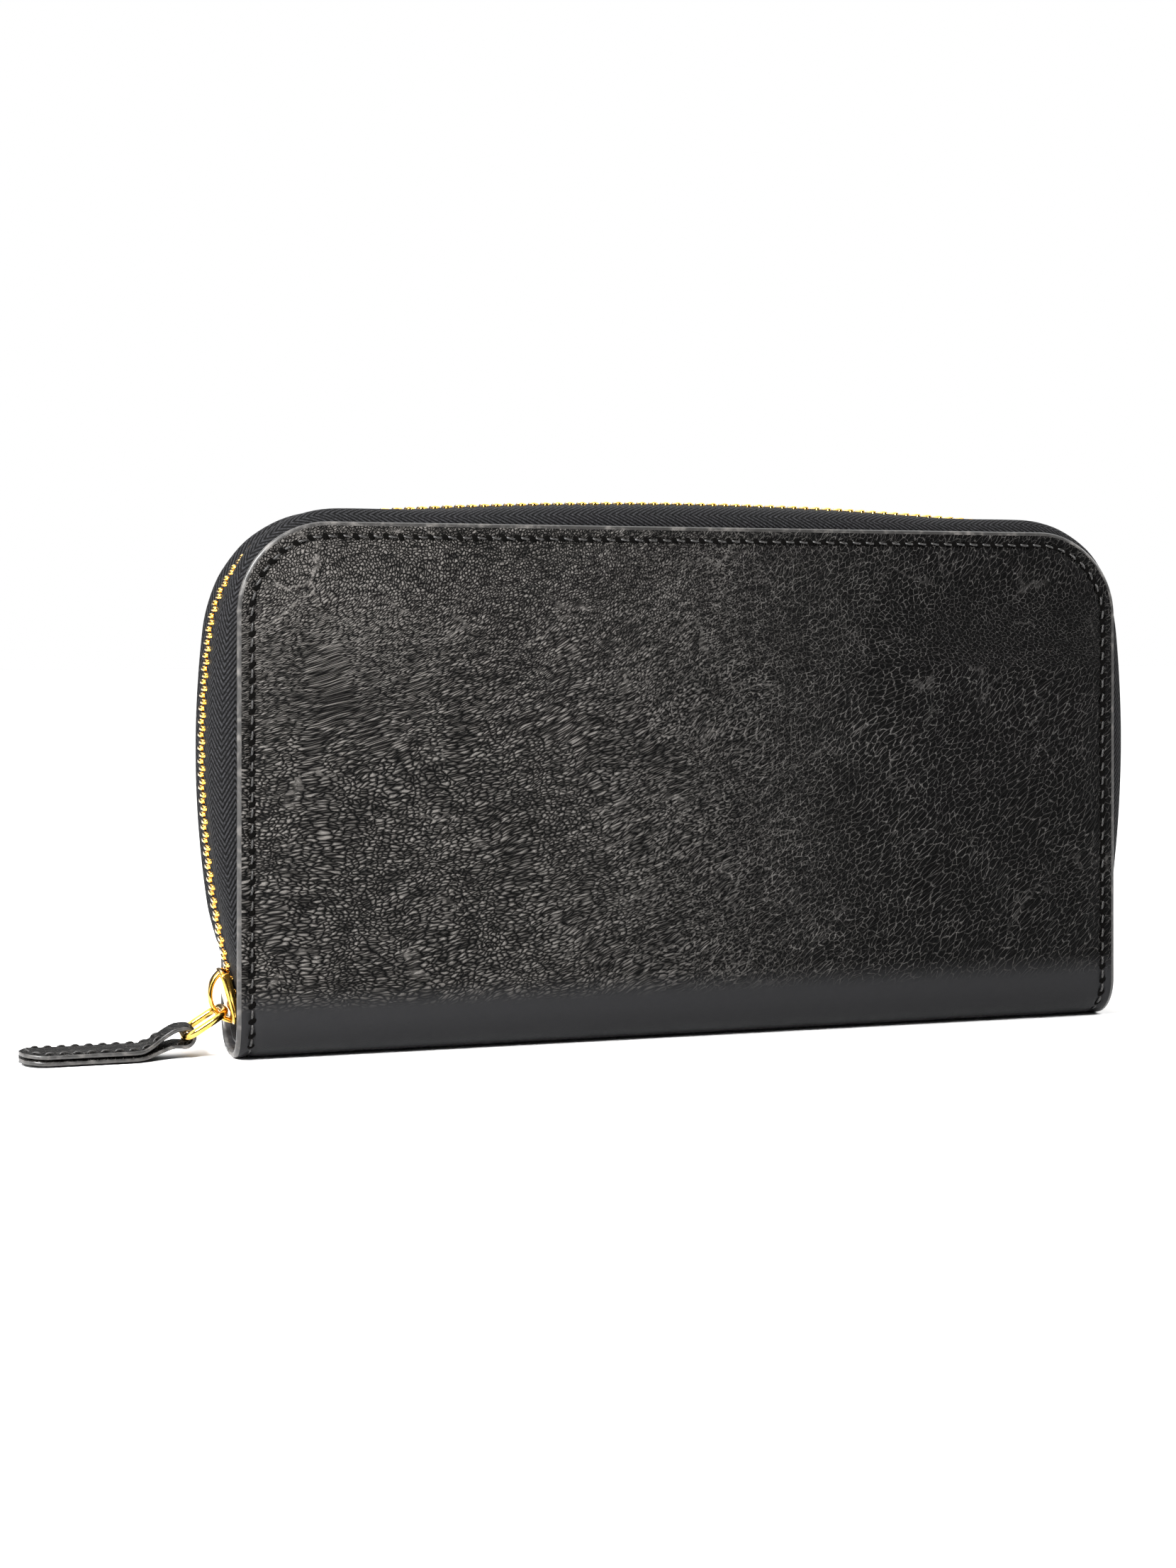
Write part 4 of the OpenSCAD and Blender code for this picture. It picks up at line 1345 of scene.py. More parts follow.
@dataclass
class Slider:
    """A zip slider: two plates with lips, joined by a post. X is out, Z towards the shoulder."""

    sizes: SliderSizes

    def solids(self) -> list[Array]:
        """Sections of the plates, lips and post in the slider's own axes."""
        s = self.sizes
        chamfer = s.half_l / 4
        right = [(s.tail, -s.half_l), (s.shoulder, 0), (s.shoulder, s.half_l - chamfer),
                 (s.shoulder - chamfer, s.half_l)]
        corners = right + [(-y, z) for y, z in reversed(right)]
        outline = rounded_outline(corners, s.half_l * 0.28)
        made = []
        for side in (1, -1):
            plate = rounded_slab(outline, s.half_gap, s.half_gap + s.plate, s.edge)
            plate[..., 0] *= side
            made.append(plate)
            for wing in (1, -1):
                lip = rounded_outline([(s.lip_y, 0.4 - s.half_l), (s.tail - 0.02, 0.4 - s.half_l),
                                       (s.shoulder - 0.03, 0), (s.shoulder - 0.03, s.half_l * 0.7),
                                       (s.lip_y, s.half_l * 0.7)], 0.3, 3)
                lip[:, 0] *= wing
                wall = rounded_slab(lip, s.lip_gap, s.half_gap + s.plate * 0.5, 0.12, 2)
                wall[..., 0] *= side
                made.append(wall)
        turn = np.linspace(0, 2 * math.pi, 21)[:-1]
        post = np.column_stack([s.post_r * np.cos(turn), s.half_l - 2 * s.post_r + s.post_r * np.sin(turn)])
        reach = s.half_gap + s.plate * 0.5
        made.append(rounded_slab(post, -reach, reach, 0.05, 1))
        return made

    def bridge(self, half_open: float, rise: float, wall: float, half_w: float, swell: float) -> Array:
        """Sections of the arched bridge over the outer plate.

        Args:
            half_open: Half length of the opening under it.
            rise: Height of that opening.
            wall: Thickness of the band.
            half_w: Half width of the band at its feet.
            swell: How much wider its middle is.

        Returns:
            Sections in the slider's own axes.
        """
        base = self.sizes.half_gap + self.sizes.plate
        foot, crest = half_open + wall / 2, rise + wall / 2
        r = (foot * foot + crest * crest) / (2 * crest)
        reach = math.asin(foot / r)
        sections = []
        for a in np.linspace(-reach - 0.06, reach + 0.06, 27):
            mid = np.array([base + crest - r + r * math.cos(a), r * math.sin(a)])
            out = np.array([math.cos(a), math.sin(a)])
            w = half_w + swell * math.cos(a / reach * math.pi / 2) ** 2
            ring = []
            for k in range(20):
                b = 2 * math.pi * k / 20
                cy, cn = math.cos(b), math.sin(b)
                y = w * math.copysign(abs(cy) ** 0.5, cy)
                n = wall / 2 * math.copysign(abs(cn) ** 0.62, cn)
                point = mid + out * n
                ring.append((point[0], y, point[1]))
            sections.append(ring)
        return np.array(sections)


def solids_piece(name: str, solids: Sequence[Array], finish: Material,
                 turn: Callable[[Array], Array], sharp: float = 50.0) -> Object:
    """Makes one piece from several lofted solids.

    Args:
        name: Name of the piece.
        solids: Sections of each solid in their own axes.
        finish: Material of the piece.
        turn: Takes points in those axes to the wallet's frame in millimetres.
        sharp: Edges sharper than this many degrees stay crisp.

    Returns:
        The piece.
    """
    points, faces, first = [], [], 0
    for sections in solids:
        flat = turn(sections.reshape(-1, 3))
        faces += [[i + first for i in face] for face in loft(sections)]
        points.append(flat)
        first += len(flat)
    piece = make_piece(name, np.concatenate(points), faces, [finish], merge=0.0004)
    crease_edges(piece, sharp)
    return piece


@dataclass
class PullAssembly:
    """The main slider with its bridge, ring and leather pull tab."""

    line: ChainLine
    slider_z: float = 12.0
    ring_wire: float = 0.8
    ring_w: float = 9.0
    tab_l: float = 31.5
    tab_w: float = 10.4
    ply: float = 1.25
    floor_gap: float = 0.1
    fold_l: float = 9.0        # From the ring's bar to where the two plies lie flat
    tip_flare: float = 0.35    # How far the tip lifts
    stitch_inset: float = 1.3
    stitch_pitch: float = 2.6

    def __post_init__(self) -> None:
        """Finds the slider's axes and the ring's two bars."""
        phi = self.line.phi_at(self.slider_z)
        self.out = np.array([math.cos(phi), math.sin(phi)])
        self.down = np.array([-math.sin(phi), math.cos(phi)])
        self.origin = self.line.side_c + self.line.side_r * self.out
        self.bar_in = pivot("ring_swing")[[0, 2]]
        self.bar_tab = pivot("tab_swing")[[0, 2]]
        self.slider = Slider(SliderSizes(half_l=5.5, shoulder=4.6, tail=4.2, half_gap=1.5, plate=1.0,
                                         lip_y=3.7, lip_gap=0.75, post_r=1.1))

    def turn(self, points: Array) -> Array:
        """Takes points from the slider's axes to the wallet's frame."""
        xz = self.origin + points[:, :1] * self.out + points[:, 2:] * self.down
        return np.column_stack([xz[:, 0], points[:, 1], xz[:, 1]])

    def body(self) -> Object:
        """Casts the slider's body."""
        piece = solids_piece("slider_plates", self.slider.solids(), GoldPlate().material(), self.turn)
        return stand_for(piece, "zip_slider", "gold_plate", "slider_body")

    def bridge(self) -> Object:
        """Casts the bridge that holds the ring."""
        sections = self.slider.bridge(half_open=4.3, rise=2.4, wall=1.0, half_w=1.5, swell=0.7)
        piece = solids_piece("slider_arch", [sections], GoldPlate().material(), self.turn)
        return stand_for(piece, "zip_slider", "gold_plate", "slider_bridge")

    def ring(self) -> Object:
        """Bends the ring from oval wire into a rounded square."""
        length = np.linalg.norm(self.bar_tab - self.bar_in)
        u = (self.bar_tab - self.bar_in) / length
        normal = np.array([-u[1], u[0]])
        centre = (self.bar_in + self.bar_tab) / 2
        corners = [(-length / 2, -self.ring_w / 2), (length / 2, -self.ring_w / 2),
                   (length / 2, self.ring_w / 2), (-length / 2, self.ring_w / 2)]
        path = rounded_outline(corners, 3.1, 13)
        ahead = np.roll(path, -1, axis=0) - np.roll(path, 1, axis=0)
        ahead /= np.linalg.norm(ahead, axis=1)[:, None]
        side = np.column_stack([ahead[:, 1], -ahead[:, 0]])
        sections = []
        for (a, y), (sa, sy) in zip(path, side):
            ring = []
            for b in np.linspace(0, 2 * math.pi, 15)[:-1]:
                w, h = self.ring_wire * math.cos(b), self.ring_wire * 0.94 * math.sin(b)
                xz = centre + u * (a + sa * w) + normal * h
                ring.append((xz[0], y + sy * w, xz[1]))
            sections.append(ring)
        piece = loft_piece("ring_wire", sections, [GoldPlate().material()], closed=True, merge=0.0004)
        return stand_for(piece, "ring", "gold_plate", "pull_ring")

    def tab_line(self, offset: float) -> Array:
        """Side view of the tab's strap from its lower tip round the ring's bar to its upper tip.

        Args:
            offset: Distance outwards from the middle of the ply.

        Returns:
            Rows of X and Z in millimetres.
        """
        reach = 1.15 + self.ply / 2
        tip_x = self.bar_tab[0] - self.tab_l
        flat_x = self.bar_tab[0] - self.fold_l
        low = self.floor_gap + self.ply / 2
        high = low + self.ply
        cx, cz = self.bar_tab
        lower = [(x, low + self.tip_flare * smooth(x, tip_x + 6, tip_x))
                 for x in np.linspace(tip_x, flat_x, 26)]
        rise = [(u, u * u * (3 - 2 * u)) for u in np.linspace(0, 1, 10)[1:-1]]
        lower += [(flat_x + u * (cx - 0.9 - flat_x), low + e * (cz - reach * 0.86 - low)) for u, e in rise]
        eye = [(cx + reach * math.sin(a), cz - reach * math.cos(a))
               for a in np.linspace(-0.35, math.pi + 0.1, 16)]
        upper = [(cx - 0.6 - u * (cx - 0.6 - flat_x), cz + reach + e * (high - cz - reach)) for u, e in rise]
        upper += [(x, high + self.tip_flare * smooth(x, tip_x + 6, tip_x))
                  for x in np.linspace(flat_x, tip_x, 26)]
        line = np.array(lower + eye + upper)
        return line - offset * left_of(line)

    def half_width(self, x: float) -> float:
        """Half width of the tab at an X, with its rounded tip and narrow neck."""
        tip = self.bar_tab[0] - self.tab_l
        half = self.tab_w / 2
        neck = self.ring_w / 2 - self.ring_wire - 0.35
        away = self.bar_tab[0] - x
        w = half + (neck - half) * float(smooth(away, 10.0, 3.5))
        inside = x - tip
        if inside < half:
            w = min(w, math.sqrt(max(half * half - (half - inside) ** 2, 0.0016)))
        return w

    def tab(self) -> Object:
        """Folds the tab's strap round the ring."""
        middle = self.tab_line(0.0)
        outer = self.tab_line(1.0)
        sections, cuts = [], []
        for (x, z), away, along in zip(middle, outer, run_along(middle)):
            normal = away - np.array([x, z])
            w = self.half_width(x)
            ring, cut = [], []
            for k in range(28):
                b = 2 * math.pi * k / 28
                cy, cn = math.cos(b), math.sin(b)
                y = w * math.copysign(abs(cy) ** 0.42, cy)
                crown = 1.0 if cn < 0 else 1.0 - 0.18 * smooth(abs(y), w - 1.8, w - 0.4)
                n = self.ply / 2 * math.copysign(abs(cn) ** 0.42, cn) * crown
                ring.append((x + normal[0] * n, y, z + normal[1] * n))
                cut.append((along, y + 40, n))
            sections.append(ring)
            cuts.append(cut)
        sections = np.array(sections)
        sections[..., 2] = np.maximum(sections[..., 2], self.floor_gap)
        around = [1 if k in (26, 27, 0, 12, 13, 14) else 0 for k in range(28)]
        sides = around * (len(sections) - 1) + [1, 1]
        finishes = [CreasedCalf().material(), PaintedEdge().material()]
        piece = loft_piece("tab_strap", sections, finishes, cuts, sides)
        return stand_for(piece, "tab", "cover_leather", "pull_tab")

    def tab_stitches(self, rows: RowAlongPath) -> Object:
        """Sews along the tab's edges and round its tip."""
        # The last 34 points of the strap's line are its upper ply
        upper = self.tab_line(self.ply / 2 - 0.1)[-34:][::-1]
        away = self.tab_line(self.ply / 2 + 1)[-34:][::-1]
        edge = []
        tip = self.bar_tab[0] - self.tab_l
        half = self.tab_w / 2
        rounded = half - self.stitch_inset
        for a in np.linspace(0, math.pi / 2, 14)[:-1]:
            edge.append((tip + half - rounded * math.cos(a), rounded * math.sin(a)))
        end = self.bar_tab[0] - 5.5
        for x in np.linspace(tip + half, end, 30):
            edge.append((x, self.half_width(x) - self.stitch_inset))
        side = np.array(edge)
        whole = np.concatenate([side[::-1], (side * [1, -1])[1:]])
        order = np.argsort(upper[:, 0])
        z = np.interp(whole[:, 0], upper[order, 0], upper[order, 1])
        normal = away - upper
        nx = np.interp(whole[:, 0], upper[order, 0], normal[order, 0])
        nz = np.interp(whole[:, 0], upper[order, 0], normal[order, 1])
        points = np.column_stack([whole[:, 0], whole[:, 1], z])
        outs = np.column_stack([nx, np.zeros(len(nx)), nz])
        stitch = stitch_item(length=2.1, radius=0.27, rise=0.16, sink=0.4)
        piece = rows.lay("tab_stitches", [(points, outs)], stitch, self.stitch_pitch,
                         WaxedThread().material(), turn=8, shake=4, seed=8)
        return stand_for(piece, "tab", "cover_leather")


# ---------------------------------------------------------------- inside


@dataclass
class InsideHalf:
    """Lining and stepped card slots sewn inside one half."""

    half: Half
    slots: int = 3
    hem_mm: float = 1.6
    tape_lap: float = 3.2

    def leaf(self, name: str, node: str, radius: float, face: Material, edge: Material,
             sway: float, step: float = 2.0, bead: float = 0.0, grow: float = 0.0) -> Object:
        """Makes a thin flat panel that stands where a frame node does.

        Args:
            name: Name of the piece.
            node: Node whose box the panel fills.
            radius: Radius of its top corners in millimetres.
            face: Material of its faces.
            edge: Material of its cut edge.
            sway: How far it waves in and out, in millimetres.
            step: Mesh spacing in millimetres.
            bead: Depth of the creased line under its top edge, in millimetres.
            grow: How far it reaches past the node's box at the ends and the top, in millimetres.

        Returns:
            The piece.
        """
        low, high = mm_box(node)
        sheet = RoundedSheet(high[0] + grow, low[2], high[2] + grow, radius, step, rim=(0.0, 0.08, 0.2))
        x, t = sheet.flat.T
        sign = self.half.value
        inside, outside = (low[1], high[1]) if sign > 0 else (high[1], low[1])
        wave = sway * ripple(sheet.flat, 30, 4.0 + high[2]) * smooth(sheet.inset, 0, 6)
        line = bead * np.exp(-((high[2] - t - self.hem_mm) / 0.35) ** 2)
        edge_fall = rim_round(sheet.inset, 0.2)
        y_in = inside - sign * wave + sign * (line + np.minimum(edge_fall, abs(outside - inside) / 2.2))
        y_out = outside - sign * np.minimum(edge_fall, abs(outside - inside) / 2.2)
        return sheet.shell(name, np.column_stack([x, y_in, t]), np.column_stack([x, y_out, t]), face, edge)

    def lining(self) -> Object:
        """Lays the woven lining over the stiffening board."""
        node = f"{self.half.label}_lining"
        cloth = LiningCloth().material()
        # It is sewn over the inner edge of the zip tape
        piece = self.leaf(f"{self.half.label}_lining_cloth", node, COVER_CORNER, cloth, cloth, 0.05,
                          grow=self.tape_lap)
        stand_for(piece, self.half.body, "lining_cloth", node)
        return piece

    def card_slot(self, index: int, rows: RowAlongPath) -> Object:
        """Cuts one card slot and sews its hem, its ends and its middle seam."""
        node = f"{self.half.label}_card_slot_{index}"
        piece = self.leaf(f"{self.half.label}_slot_{index}", node, 3.0, PebbledLeather().material(),
                          PaintedEdge().material(), 0.04, 1.6, 0.16)
        low, high = mm_box(node)
        sign = self.half.value
        inner = low[1] if sign > 0 else high[1]
        bottom = low[2] + 2 if index == self.slots else high[2] - 13
        seams = []
        for x in (-high[0] + 2.0, 0.0, high[0] - 2.0):
            z = np.linspace(bottom, high[2] - 2.5, 24)
            seams.append(np.column_stack([np.full(24, x), np.full(24, inner), z]))
        seams.append(np.column_stack([np.linspace(-high[0] + 3, high[0] - 3, 60), np.full(60, inner),
                                      np.full(60, high[2] - 2.6)]))
        paths = [(p, np.tile([0.0, -sign, 0.0], (len(p), 1))) for p in seams]
        thread = rows.lay("slot_seam", paths, stitch_item(*INNER_STITCH), INNER_PITCH,
                          WaxedThread().material(), turn=5, shake=3, seed=11 + index)
        return stand_for(join(piece.name, [piece, thread]), self.half.body, "inner_leather", node)

    def build(self, rows: RowAlongPath) -> list[Object]:
        """Makes everything inside the half."""
        return [self.lining(), *[self.card_slot(i, rows) for i in range(1, self.slots + 1)]]


def swept_strip(name: str, path: Array, half_w: float, thick: float,
                finish: Material) -> Object:
    """Sweeps a flat strip, which lies across Y, along a path in XZ.

    Args:
        name: Name of the piece.
        path: Points of the strip's middle in XZ, in millimetres.
        half_w: Half width of the strip along Y.
        thick: Its thickness.
        finish: Its material.

    Returns:
        The piece.
    """
    places = np.linspace(-1, 1, 9)
    sections, cuts = [], []
    for (x, z), (nx, nz), along in zip(path, left_of(path), run_along(path)):
        ring, cut = [], []
        for side, order in ((1, places), (-1, places[::-1])):
            for v in order:
                shift = side * thick / 2 * (1 - 0.5 * abs(v) ** 12)
                ring.append((x + nx * shift, v * half_w, z + nz * shift))
                cut.append((along, v * half_w, side))
        sections.append(ring)
        cuts.append(cut)
    piece = loft_piece(name, sections, [finish], cuts)
    crease_edges(piece, CRISP_DEGREES)
    return piece


def extruded_strip(name: str, line: Array, half_thick: Any, xs: Array, finish: Material,
                   mirror: int = 1) -> Object:
    """Extrudes a bent strip along X.

    Args:
        name: Name of the piece.
        line: Middle line of the strip's section in YZ, in millimetres.
        half_thick: Half its thickness, one for all points or one for each.
        xs: Places of the sections along X.
        finish: Its material.
        mirror: 1, or -1 to turn Y round.

    Returns:
        The piece.
    """
    normal = left_of(line) * np.reshape(half_thick, (-1, 1))
    loop = np.concatenate([line + normal, (line - normal)[::-1]])
    sections = [[(x, mirror * y, z) for y, z in loop] for x in xs]
    cuts = [[(x, v, 0) for v in there_and_back(run_along(line))] for x in xs]
    piece = loft_piece(name, sections, [finish], cuts)
    crease_edges(piece, CRISP_DEGREES)
    return piece


@dataclass
class SpineInside:
    """Woven strip that covers the spine's inner face."""

    thick: float = 0.4

    def build(self) -> Object:
        """Presses the lining strip into the spine's trough."""
        low, high = mm_box("spine_lining")
        fold = pivot("rear_cover_open")
        flat = fold[1] - fold[2]
        r = high[1] - flat - self.thick / 2
        arc = [(flat + r * math.sin(a), high[2] - r * math.cos(a))
               for a in np.linspace(0, math.pi / 2, 12)]
        line = np.array([(-y, z) for y, z in reversed(arc)] + arc)
        piece = extruded_strip("spine_cloth", line, self.thick / 2, np.linspace(low[0], high[0], 95),
                               LiningCloth().material())
        stand_for(piece, "root", "lining_cloth", "spine_lining")
        return piece


@dataclass
class CoinPocket:
    """The zipped coin pocket that stands in the middle of the spine."""

    tooth_pitch: float = 2.0
    hem_mm: float = 2.2
    chain_z: float = 86.8

    def __post_init__(self) -> None:
        """Takes the pocket's size from the frame."""
        low, high = mm_box("coin_front_panel")
        self.half_l, self.top, self.bottom = high[0], high[2], low[2]
        self.half_t = -low[1]
        self.slider_x = pivot("coin_puller_swing")[0]

    def panel(self, half: Half, rows: RowAlongPath) -> Object:
        """Cuts one panel, with a seam under the zip."""
        node = f"coin_{half.label}_panel"
        low, high = mm_box(node)
        # The panels face outwards, so each is laid like a leaf of the other half
        leaf = InsideHalf(Half(-half.value), hem_mm=self.hem_mm)
        piece = leaf.leaf(f"coin_{half.label}_leather", node, 1.5, PebbledLeather().material(),
                          PaintedEdge().material(), 0.03, 2.0, 0.0)
        outer = low[1] if half is Half.FRONT else high[1]
        z = self.top - self.hem_mm
        # The top seam goes through the tape too, so it stands further out
        xs = np.linspace(2 - self.half_l, self.half_l - 2, 70)
        seams = [np.column_stack([xs, np.full(70, outer + 0.4 * half.value), np.full(70, z - 1.4)])]
        zs = np.linspace(self.bottom + 2, z - 5, 40)
        for x in (1.6 - self.half_l, self.half_l - 1.6):
            seams.append(np.column_stack([np.full(40, x), np.full(40, outer), zs]))
        paths = [(p, np.tile([0.0, half.value, 0.0], (len(p), 1))) for p in seams]
        thread = rows.lay("coin_seam", paths, stitch_item(*INNER_STITCH), INNER_PITCH,
                          WaxedThread().material(), turn=5, shake=3, seed=21)
        return stand_for(join(piece.name, [piece, thread]), "root", "inner_leather", node)

    def strip(self) -> Object:
        """Bends the strip that joins the panels along the bottom and the ends."""
        low, high = mm_box("coin_side_strip")
        thick, bend = 0.5, 2.0
        inner = thick / 2
        left, right, floor = low[0] + inner, high[0] - inner, low[2] + inner
        path = [(left, z) for z in np.linspace(high[2], floor + bend, 24)]
        path += [(left + bend - bend * math.cos(a), floor + bend - bend * math.sin(a))
                 for a in np.linspace(0, math.pi / 2, 7)[1:]]
        path += [(x, floor) for x in np.linspace(left + bend, right - bend, 50)[1:]]
        path += [(-x, z) for x, z in path[:30][::-1]][1:]
        piece = swept_strip("coin_gusset", np.array(path), high[1], thick, PebbledLeather().material())
        return stand_for(piece, "root", "inner_leather", "coin_side_strip")

    def tape(self, half: Half) -> Object:
        """Weaves one coin zip tape, turned down over its panel."""
        node = f"coin_{half.label}_tape"
        low, high = mm_box(node)
        thick, bend = 0.4, 1.0
        outer, edge = (-low[1], -high[1]) if half is Half.FRONT else (high[1], low[1])
        y, z = outer - thick / 2, self.chain_z
        line = [(y, v) for v in np.linspace(low[2], z - bend, 8)]
        line += [(y - bend + bend * math.cos(a), z - bend + bend * math.sin(a))
                 for a in np.linspace(0, math.pi / 2, 6)[1:]]
        line += [(v, z) for v in np.linspace(y - bend, edge, 6)[1:]]
        half_thick = np.full(len(line), thick / 2)
        half_thick[-2] = 0.34  # The bead that the teeth grip
        xs = np.linspace(-self.half_l, self.half_l, 85)
        piece = extruded_strip(f"coin_{half.label}_twill", np.array(line), half_thick, xs,
                               WovenTwill().material(), half.value)
        return stand_for(piece, "root", "zip_tape", node)

    def chain(self, half: Half, rows: RowAlongPath) -> Object:
        """Clamps one side's small teeth on its tape."""
        node = f"coin_{half.label}_teeth"
        low, high = mm_box(node)
        start = low[0] + 0.4
        count = round((high[0] - 0.4 - start) / self.tooth_pitch)
        xs = np.linspace(start, start + count * self.tooth_pitch, count * 4 + 1)
        points = np.column_stack([xs, np.zeros(len(xs)), np.full(len(xs), self.chain_z)])
        outs = np.tile([0.0, -half.value, 0.0], (len(xs), 1))
        item = MainZip.tooth()
        item.data.transform(Matrix.Diagonal((0.76, 0.74, 0.7, 1)))
        piece = rows.lay(f"coin_{half.label}_chain", [(points, outs)], item, self.tooth_pitch,
                         GoldPlate().material(), shake=0.8, seed=6)
        return stand_for(piece, "root", "gold_plate", node)

    def slider(self) -> Object:
        """Casts the small slider with its bridge."""
        slider = Slider(SliderSizes(half_l=4.0, shoulder=3.4, tail=3.2, half_gap=1.15, plate=0.6,
                                    lip_y=2.85, lip_gap=0.5, post_r=0.6, edge=0.22))
        bridge = slider.bridge(half_open=2.6, rise=1.5, wall=0.6, half_w=0.8, swell=0.35)

        def turn(points: Array) -> Array:
            return np.column_stack([self.slider_x - points[:, 2], points[:, 1], self.chain_z + points[:, 0]])

        solids = [*slider.solids(), bridge]
        piece = solids_piece("coin_slider_cast", solids, GoldPlate().material(), turn)
        return stand_for(piece, "coin_slide", "gold_plate", "coin_slider")

    def puller(self) -> Object:
        """Stamps the puller: an eye on the bridge, and a tapered plate with rounded edges."""
        pin = pivot("coin_puller_swing") * [1, 0, 1]
        _, high = mm_box("coin_puller")
        tip = high[0] - pin[0]
        turn_angles = np.linspace(0, 2 * math.pi, 13)[:-1]
        bar = [[(0.4 * math.cos(a), y, 0.4 * math.sin(a)) for a in turn_angles]
               for y in (-1.9, -1.6, 0, 1.6, 1.9)]
        solids = [np.array(bar)]
        for side in (-1, 1):
            arm = []
            for x in np.linspace(0, 4.3, 7):
                y = side * (1.55 - 0.12 * math.sin(x / 4.3 * math.pi))
                arm.append([(x, y + 0.34 * math.cos(a), 0.36 * math.sin(a)) for a in turn_angles])
            solids.append(np.array(arm))
        corners = [(3.9, -1.7), (tip - 1.2, -1.9), (tip, -0.9), (tip, 0.9), (tip - 1.2, 1.9), (3.9, 1.7)]
        plate = rounded_slab(rounded_outline(corners, 0.8), -0.4, 0.4, 0.18, 3)
        solids.append(plate[..., [1, 2, 0]])

        piece = solids_piece("coin_puller_stamped", solids, GoldPlate().material(), lambda p: p + pin)
        return stand_for(piece, "coin_pull", "gold_plate", "coin_puller")

    def build(self, rows: RowAlongPath) -> list[Object]:
        """Makes the whole pocket."""
        made = [self.strip(), self.slider(), self.puller()]
        for half in Half:
            made += [self.panel(half, rows), self.tape(half), self.chain(half, rows)]
        return made


@dataclass
class Gusset:
    """Pleated leather between one half's lining and the coin pocket, at one end."""

    half: Half
    end: int
    thick: float = 0.4
    folds: int = 4
    pocket_end: float = 84.0

    def build(self) -> Object:
        """Pleats the gusset, a little deeper towards its open top."""
        side = "left" if self.end < 0 else "right"
        node = f"gusset_{self.half.label}_{side}"
        low, high = mm_box(node)
        corners = np.abs([low, high])
        x_in, y_near, _ = corners.min(axis=0) + [0.55, 0, 0]
        x_out, y_far, _ = corners.max(axis=0) - [0.35, 0, 0]
        steps = 6
        line = []
        for i in range(self.folds * steps + 1):
            v = i / steps
            swing = 0.5 - 0.5 * math.cos(math.pi * v)
            line.append((swing, y_far - (y_far - y_near) * i / (self.folds * steps)))
        sections, cuts = [], []
        for z in np.linspace(low[2], high[2], 30):
            open_up = 0.82 + 0.18 * (z - low[2]) / (high[2] - low[2])
            wave = 0.12 * math.sin(z / 9.0)
            pleats = [(x_in + (x_out - x_in) * swing * open_up + wave * swing, y) for swing, y in line]
            # The last leg turns in and is sewn flat to the coin pocket's end
            rows = np.array(pleats + [(self.pocket_end + 0.35, y_near - 0.5), (self.pocket_end + 0.25, 2.6),
                                      (self.pocket_end + 0.25, 0.6)])
            normal = -left_of(rows) * self.thick / 2
            normal[:, 1] *= 0.5
            loop = np.concatenate([rows + normal, (rows - normal)[::-1]])
            sections.append([(self.end * x, self.half.value * y, z) for x, y in loop])
            cuts.append([(v, z, 0) for v in there_and_back(run_along(rows))])
        piece = loft_piece(f"pleats_{self.half.label}_{side}", sections, [PebbledLeather().material()], cuts)
        self.half.body
        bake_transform(piece)
        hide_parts(node)
        return piece


def dress_frame() -> None:
    """Gives the frame's own hard parts their finishes, where their shape stays."""
    nodes = {FibreBoard(): ("front_board", "rear_board", "spine_reinforcement"),
             FoamSheet(): ("front_padding", "rear_padding"),
             GoldPlate(): ("coin_end_stops", "zip_bottom_stop", "front_top_stop", "rear_top_stop")}
    for finish, names in nodes.items():
        for name in names:
            for slot in frame["nodes"][name].material_slots:
                slot.material = finish.material()


# ---------------------------------------------------------------- studio


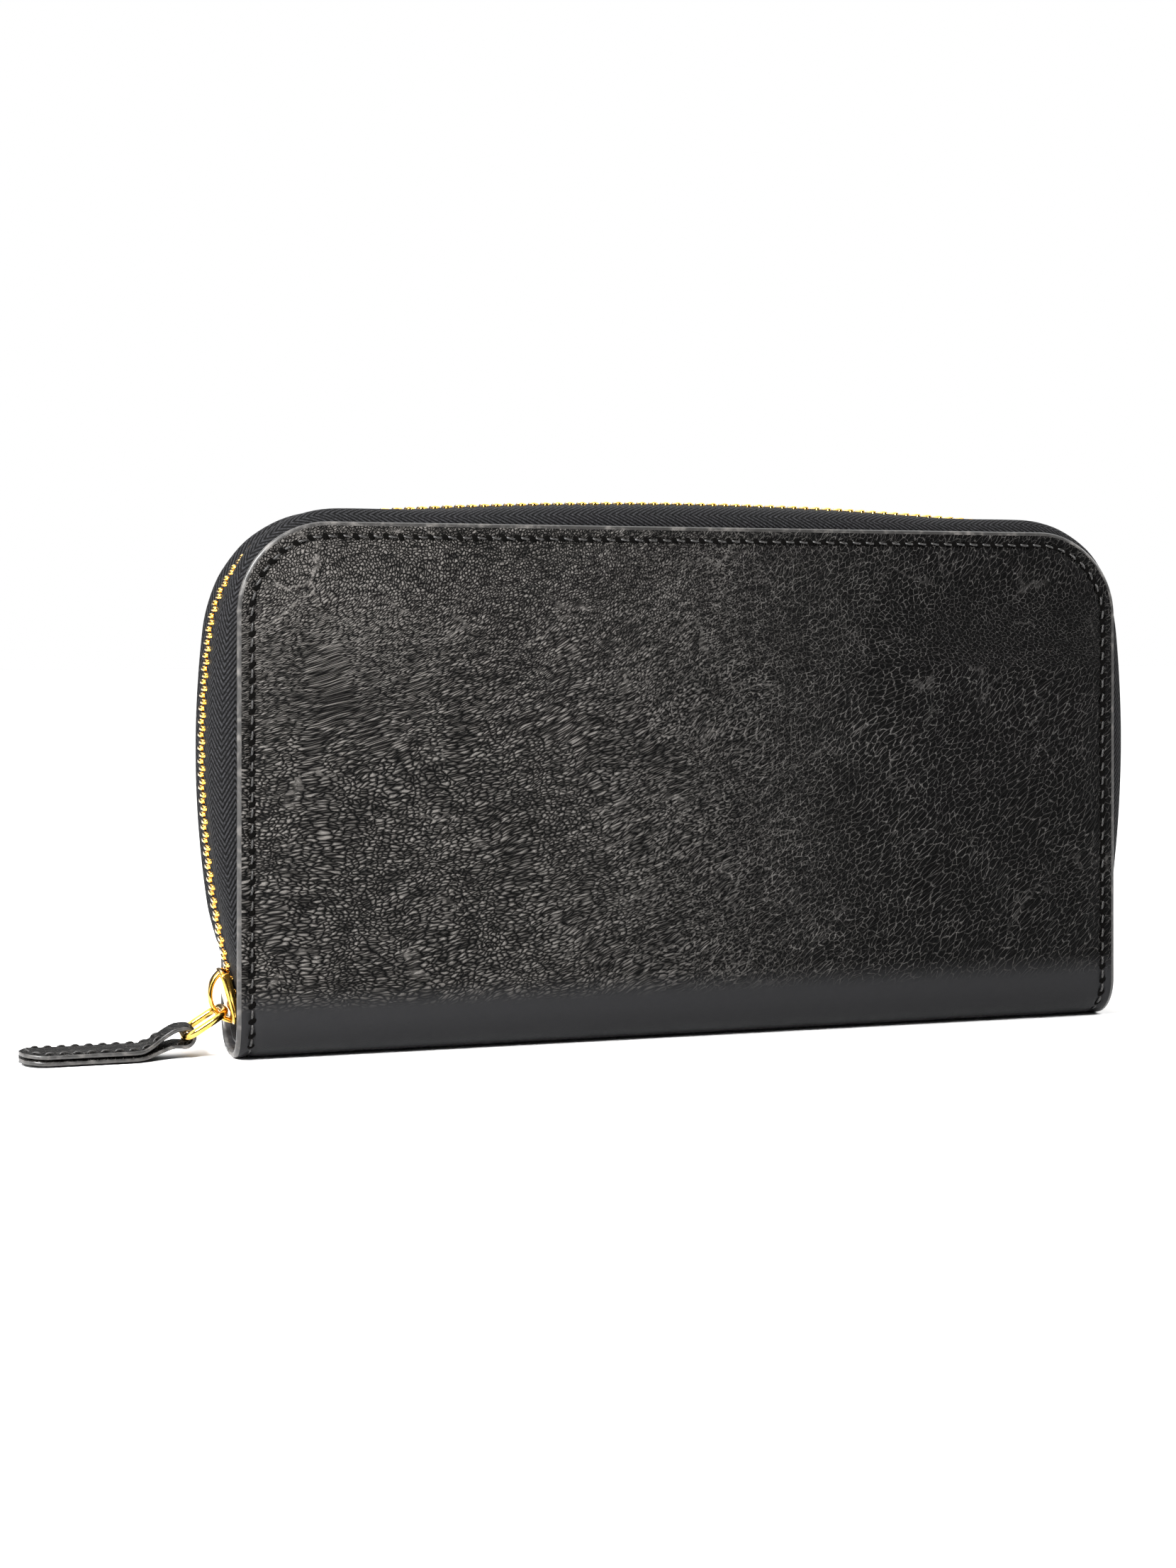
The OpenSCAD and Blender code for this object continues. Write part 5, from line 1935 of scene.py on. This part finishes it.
@dataclass
class Studio:
    """Camera, pale paper floor and soft lights."""

    camera_at: tuple[float, float, float] = (-0.1576, -0.4496, 0.0816)
    yaw: float = -16.93
    lens: float = 52.08
    shift_y: float = -0.091
    fill: float = 0.10    # Strength of the light from the room's walls
    ceiling: float = 4.2  # Strength of the wide overhead light

    def camera(self) -> None:
        """Sets up a level camera a little left of the wallet."""
        data = bpy.data.cameras.new("camera")
        data.lens = self.lens
        data.sensor_width = 36
        data.shift_y = self.shift_y
        data.clip_start = 0.01
        camera = bpy.data.objects.new("camera", data)
        camera.location = self.camera_at
        camera.rotation_euler = (math.pi / 2, 0, math.radians(self.yaw))
        bpy.context.scene.collection.objects.link(camera)
        bpy.context.scene.camera = camera

    def light(self, name: str, at: tuple[float, float, float], aim: tuple[float, float, float],
              size: tuple[float, float], power: float) -> None:
        """Hangs one softbox.

        Args:
            name: Name of the light.
            at: Its place in metres.
            aim: The point it faces.
            size: Its width and height in metres.
            power: Its power in watts.
        """
        data = bpy.data.lights.new(name, "AREA")
        data.shape = "RECTANGLE"
        data.size = size[0]
        data.size_y = size[1]
        data.energy = power
        lamp = bpy.data.objects.new(name, data)
        lamp.location = at
        lamp.rotation_euler = (Vector(aim) - Vector(at)).to_track_quat("-Z", "Y").to_euler()
        bpy.context.scene.collection.objects.link(lamp)

    def floor(self) -> None:
        """Lays the paper floor."""
        size = 6.0
        mesh = bpy.data.meshes.new("paper_floor")
        mesh.from_pydata([(-size, -size, 0), (size, -size, 0), (size, size, 0), (-size, size, 0)], [],
                         [(0, 1, 2, 3)])
        mesh.materials.append(SeamlessPaper().material())
        floor = bpy.data.objects.new("paper_floor", mesh)
        bpy.context.scene.collection.objects.link(floor)

    def build(self) -> None:
        """Sets the whole studio."""
        self.camera()
        self.floor()
        world = bpy.data.worlds.new("studio")
        bpy.context.scene.world = world
        world.use_nodes = True
        tree = world.node_tree
        background = tree.nodes["Background"]
        # The white room shows behind the wallet, and lights it only softly
        seen = add_node(tree, "ShaderNodeLightPath").outputs["Is Camera Ray"]
        strength = add_node(tree, "ShaderNodeMapRange", {"Value": seen, "To Min": self.fill, "To Max": 1.0})
        background.inputs["Color"].default_value = linear("#ffffff")
        tree.links.new(strength.outputs[0], background.inputs["Strength"])
        self.light("key_softbox", at=(-0.38, -0.3, 0.38), aim=(-0.07, 0, 0.07), size=(0.16, 0.16), power=8)
        self.light("left_card", at=(-0.9, -0.1, 0.35), aim=(-0.1, 0, 0.04), size=(0.5, 0.5), power=3)
        self.light("right_softbox", at=(0.7, -0.15, 0.42), aim=(0.09, 0, 0.09), size=(0.15, 0.2), power=3)
        sky = bpy.data.lights.new("ceiling", "SUN")
        sky.energy = self.ceiling
        sky.angle = math.radians(100)
        ceiling = bpy.data.objects.new("ceiling", sky)
        ceiling.rotation_euler = (math.radians(-25), 0, 0)
        bpy.context.scene.collection.objects.link(ceiling)
        bpy.context.scene.view_settings.view_transform = "Standard"


def main() -> None:
    """Builds the wallet's pieces in order."""
    logging.basicConfig(level=logging.INFO, format="%(message)s")
    Studio().build()
    rows = RowAlongPath()
    line = ChainLine()
    zip_parts = MainZip(line)
    pull = PullAssembly(line)
    made = []
    for half in Half:
        cover = CoverLeather(half, seed=3.0 if half is Half.FRONT else 17.0)
        made += [cover.build(), cover.sew(rows), zip_parts.tape(half), zip_parts.chain(half, rows)]
        made += InsideHalf(half).build(rows)
        made += [Gusset(half, end).build() for end in (-1, 1)]
    made += [pull.body(), pull.bridge(), pull.ring(), pull.tab(), pull.tab_stitches(rows)]
    made += [SpineInside().build(), *CoinPocket().build(rows)]
    dress_frame()
    for piece in made:
        LOG.info("%s: %d faces", piece.name, len(piece.data.polygons))


if __name__ == "__main__":
    main()
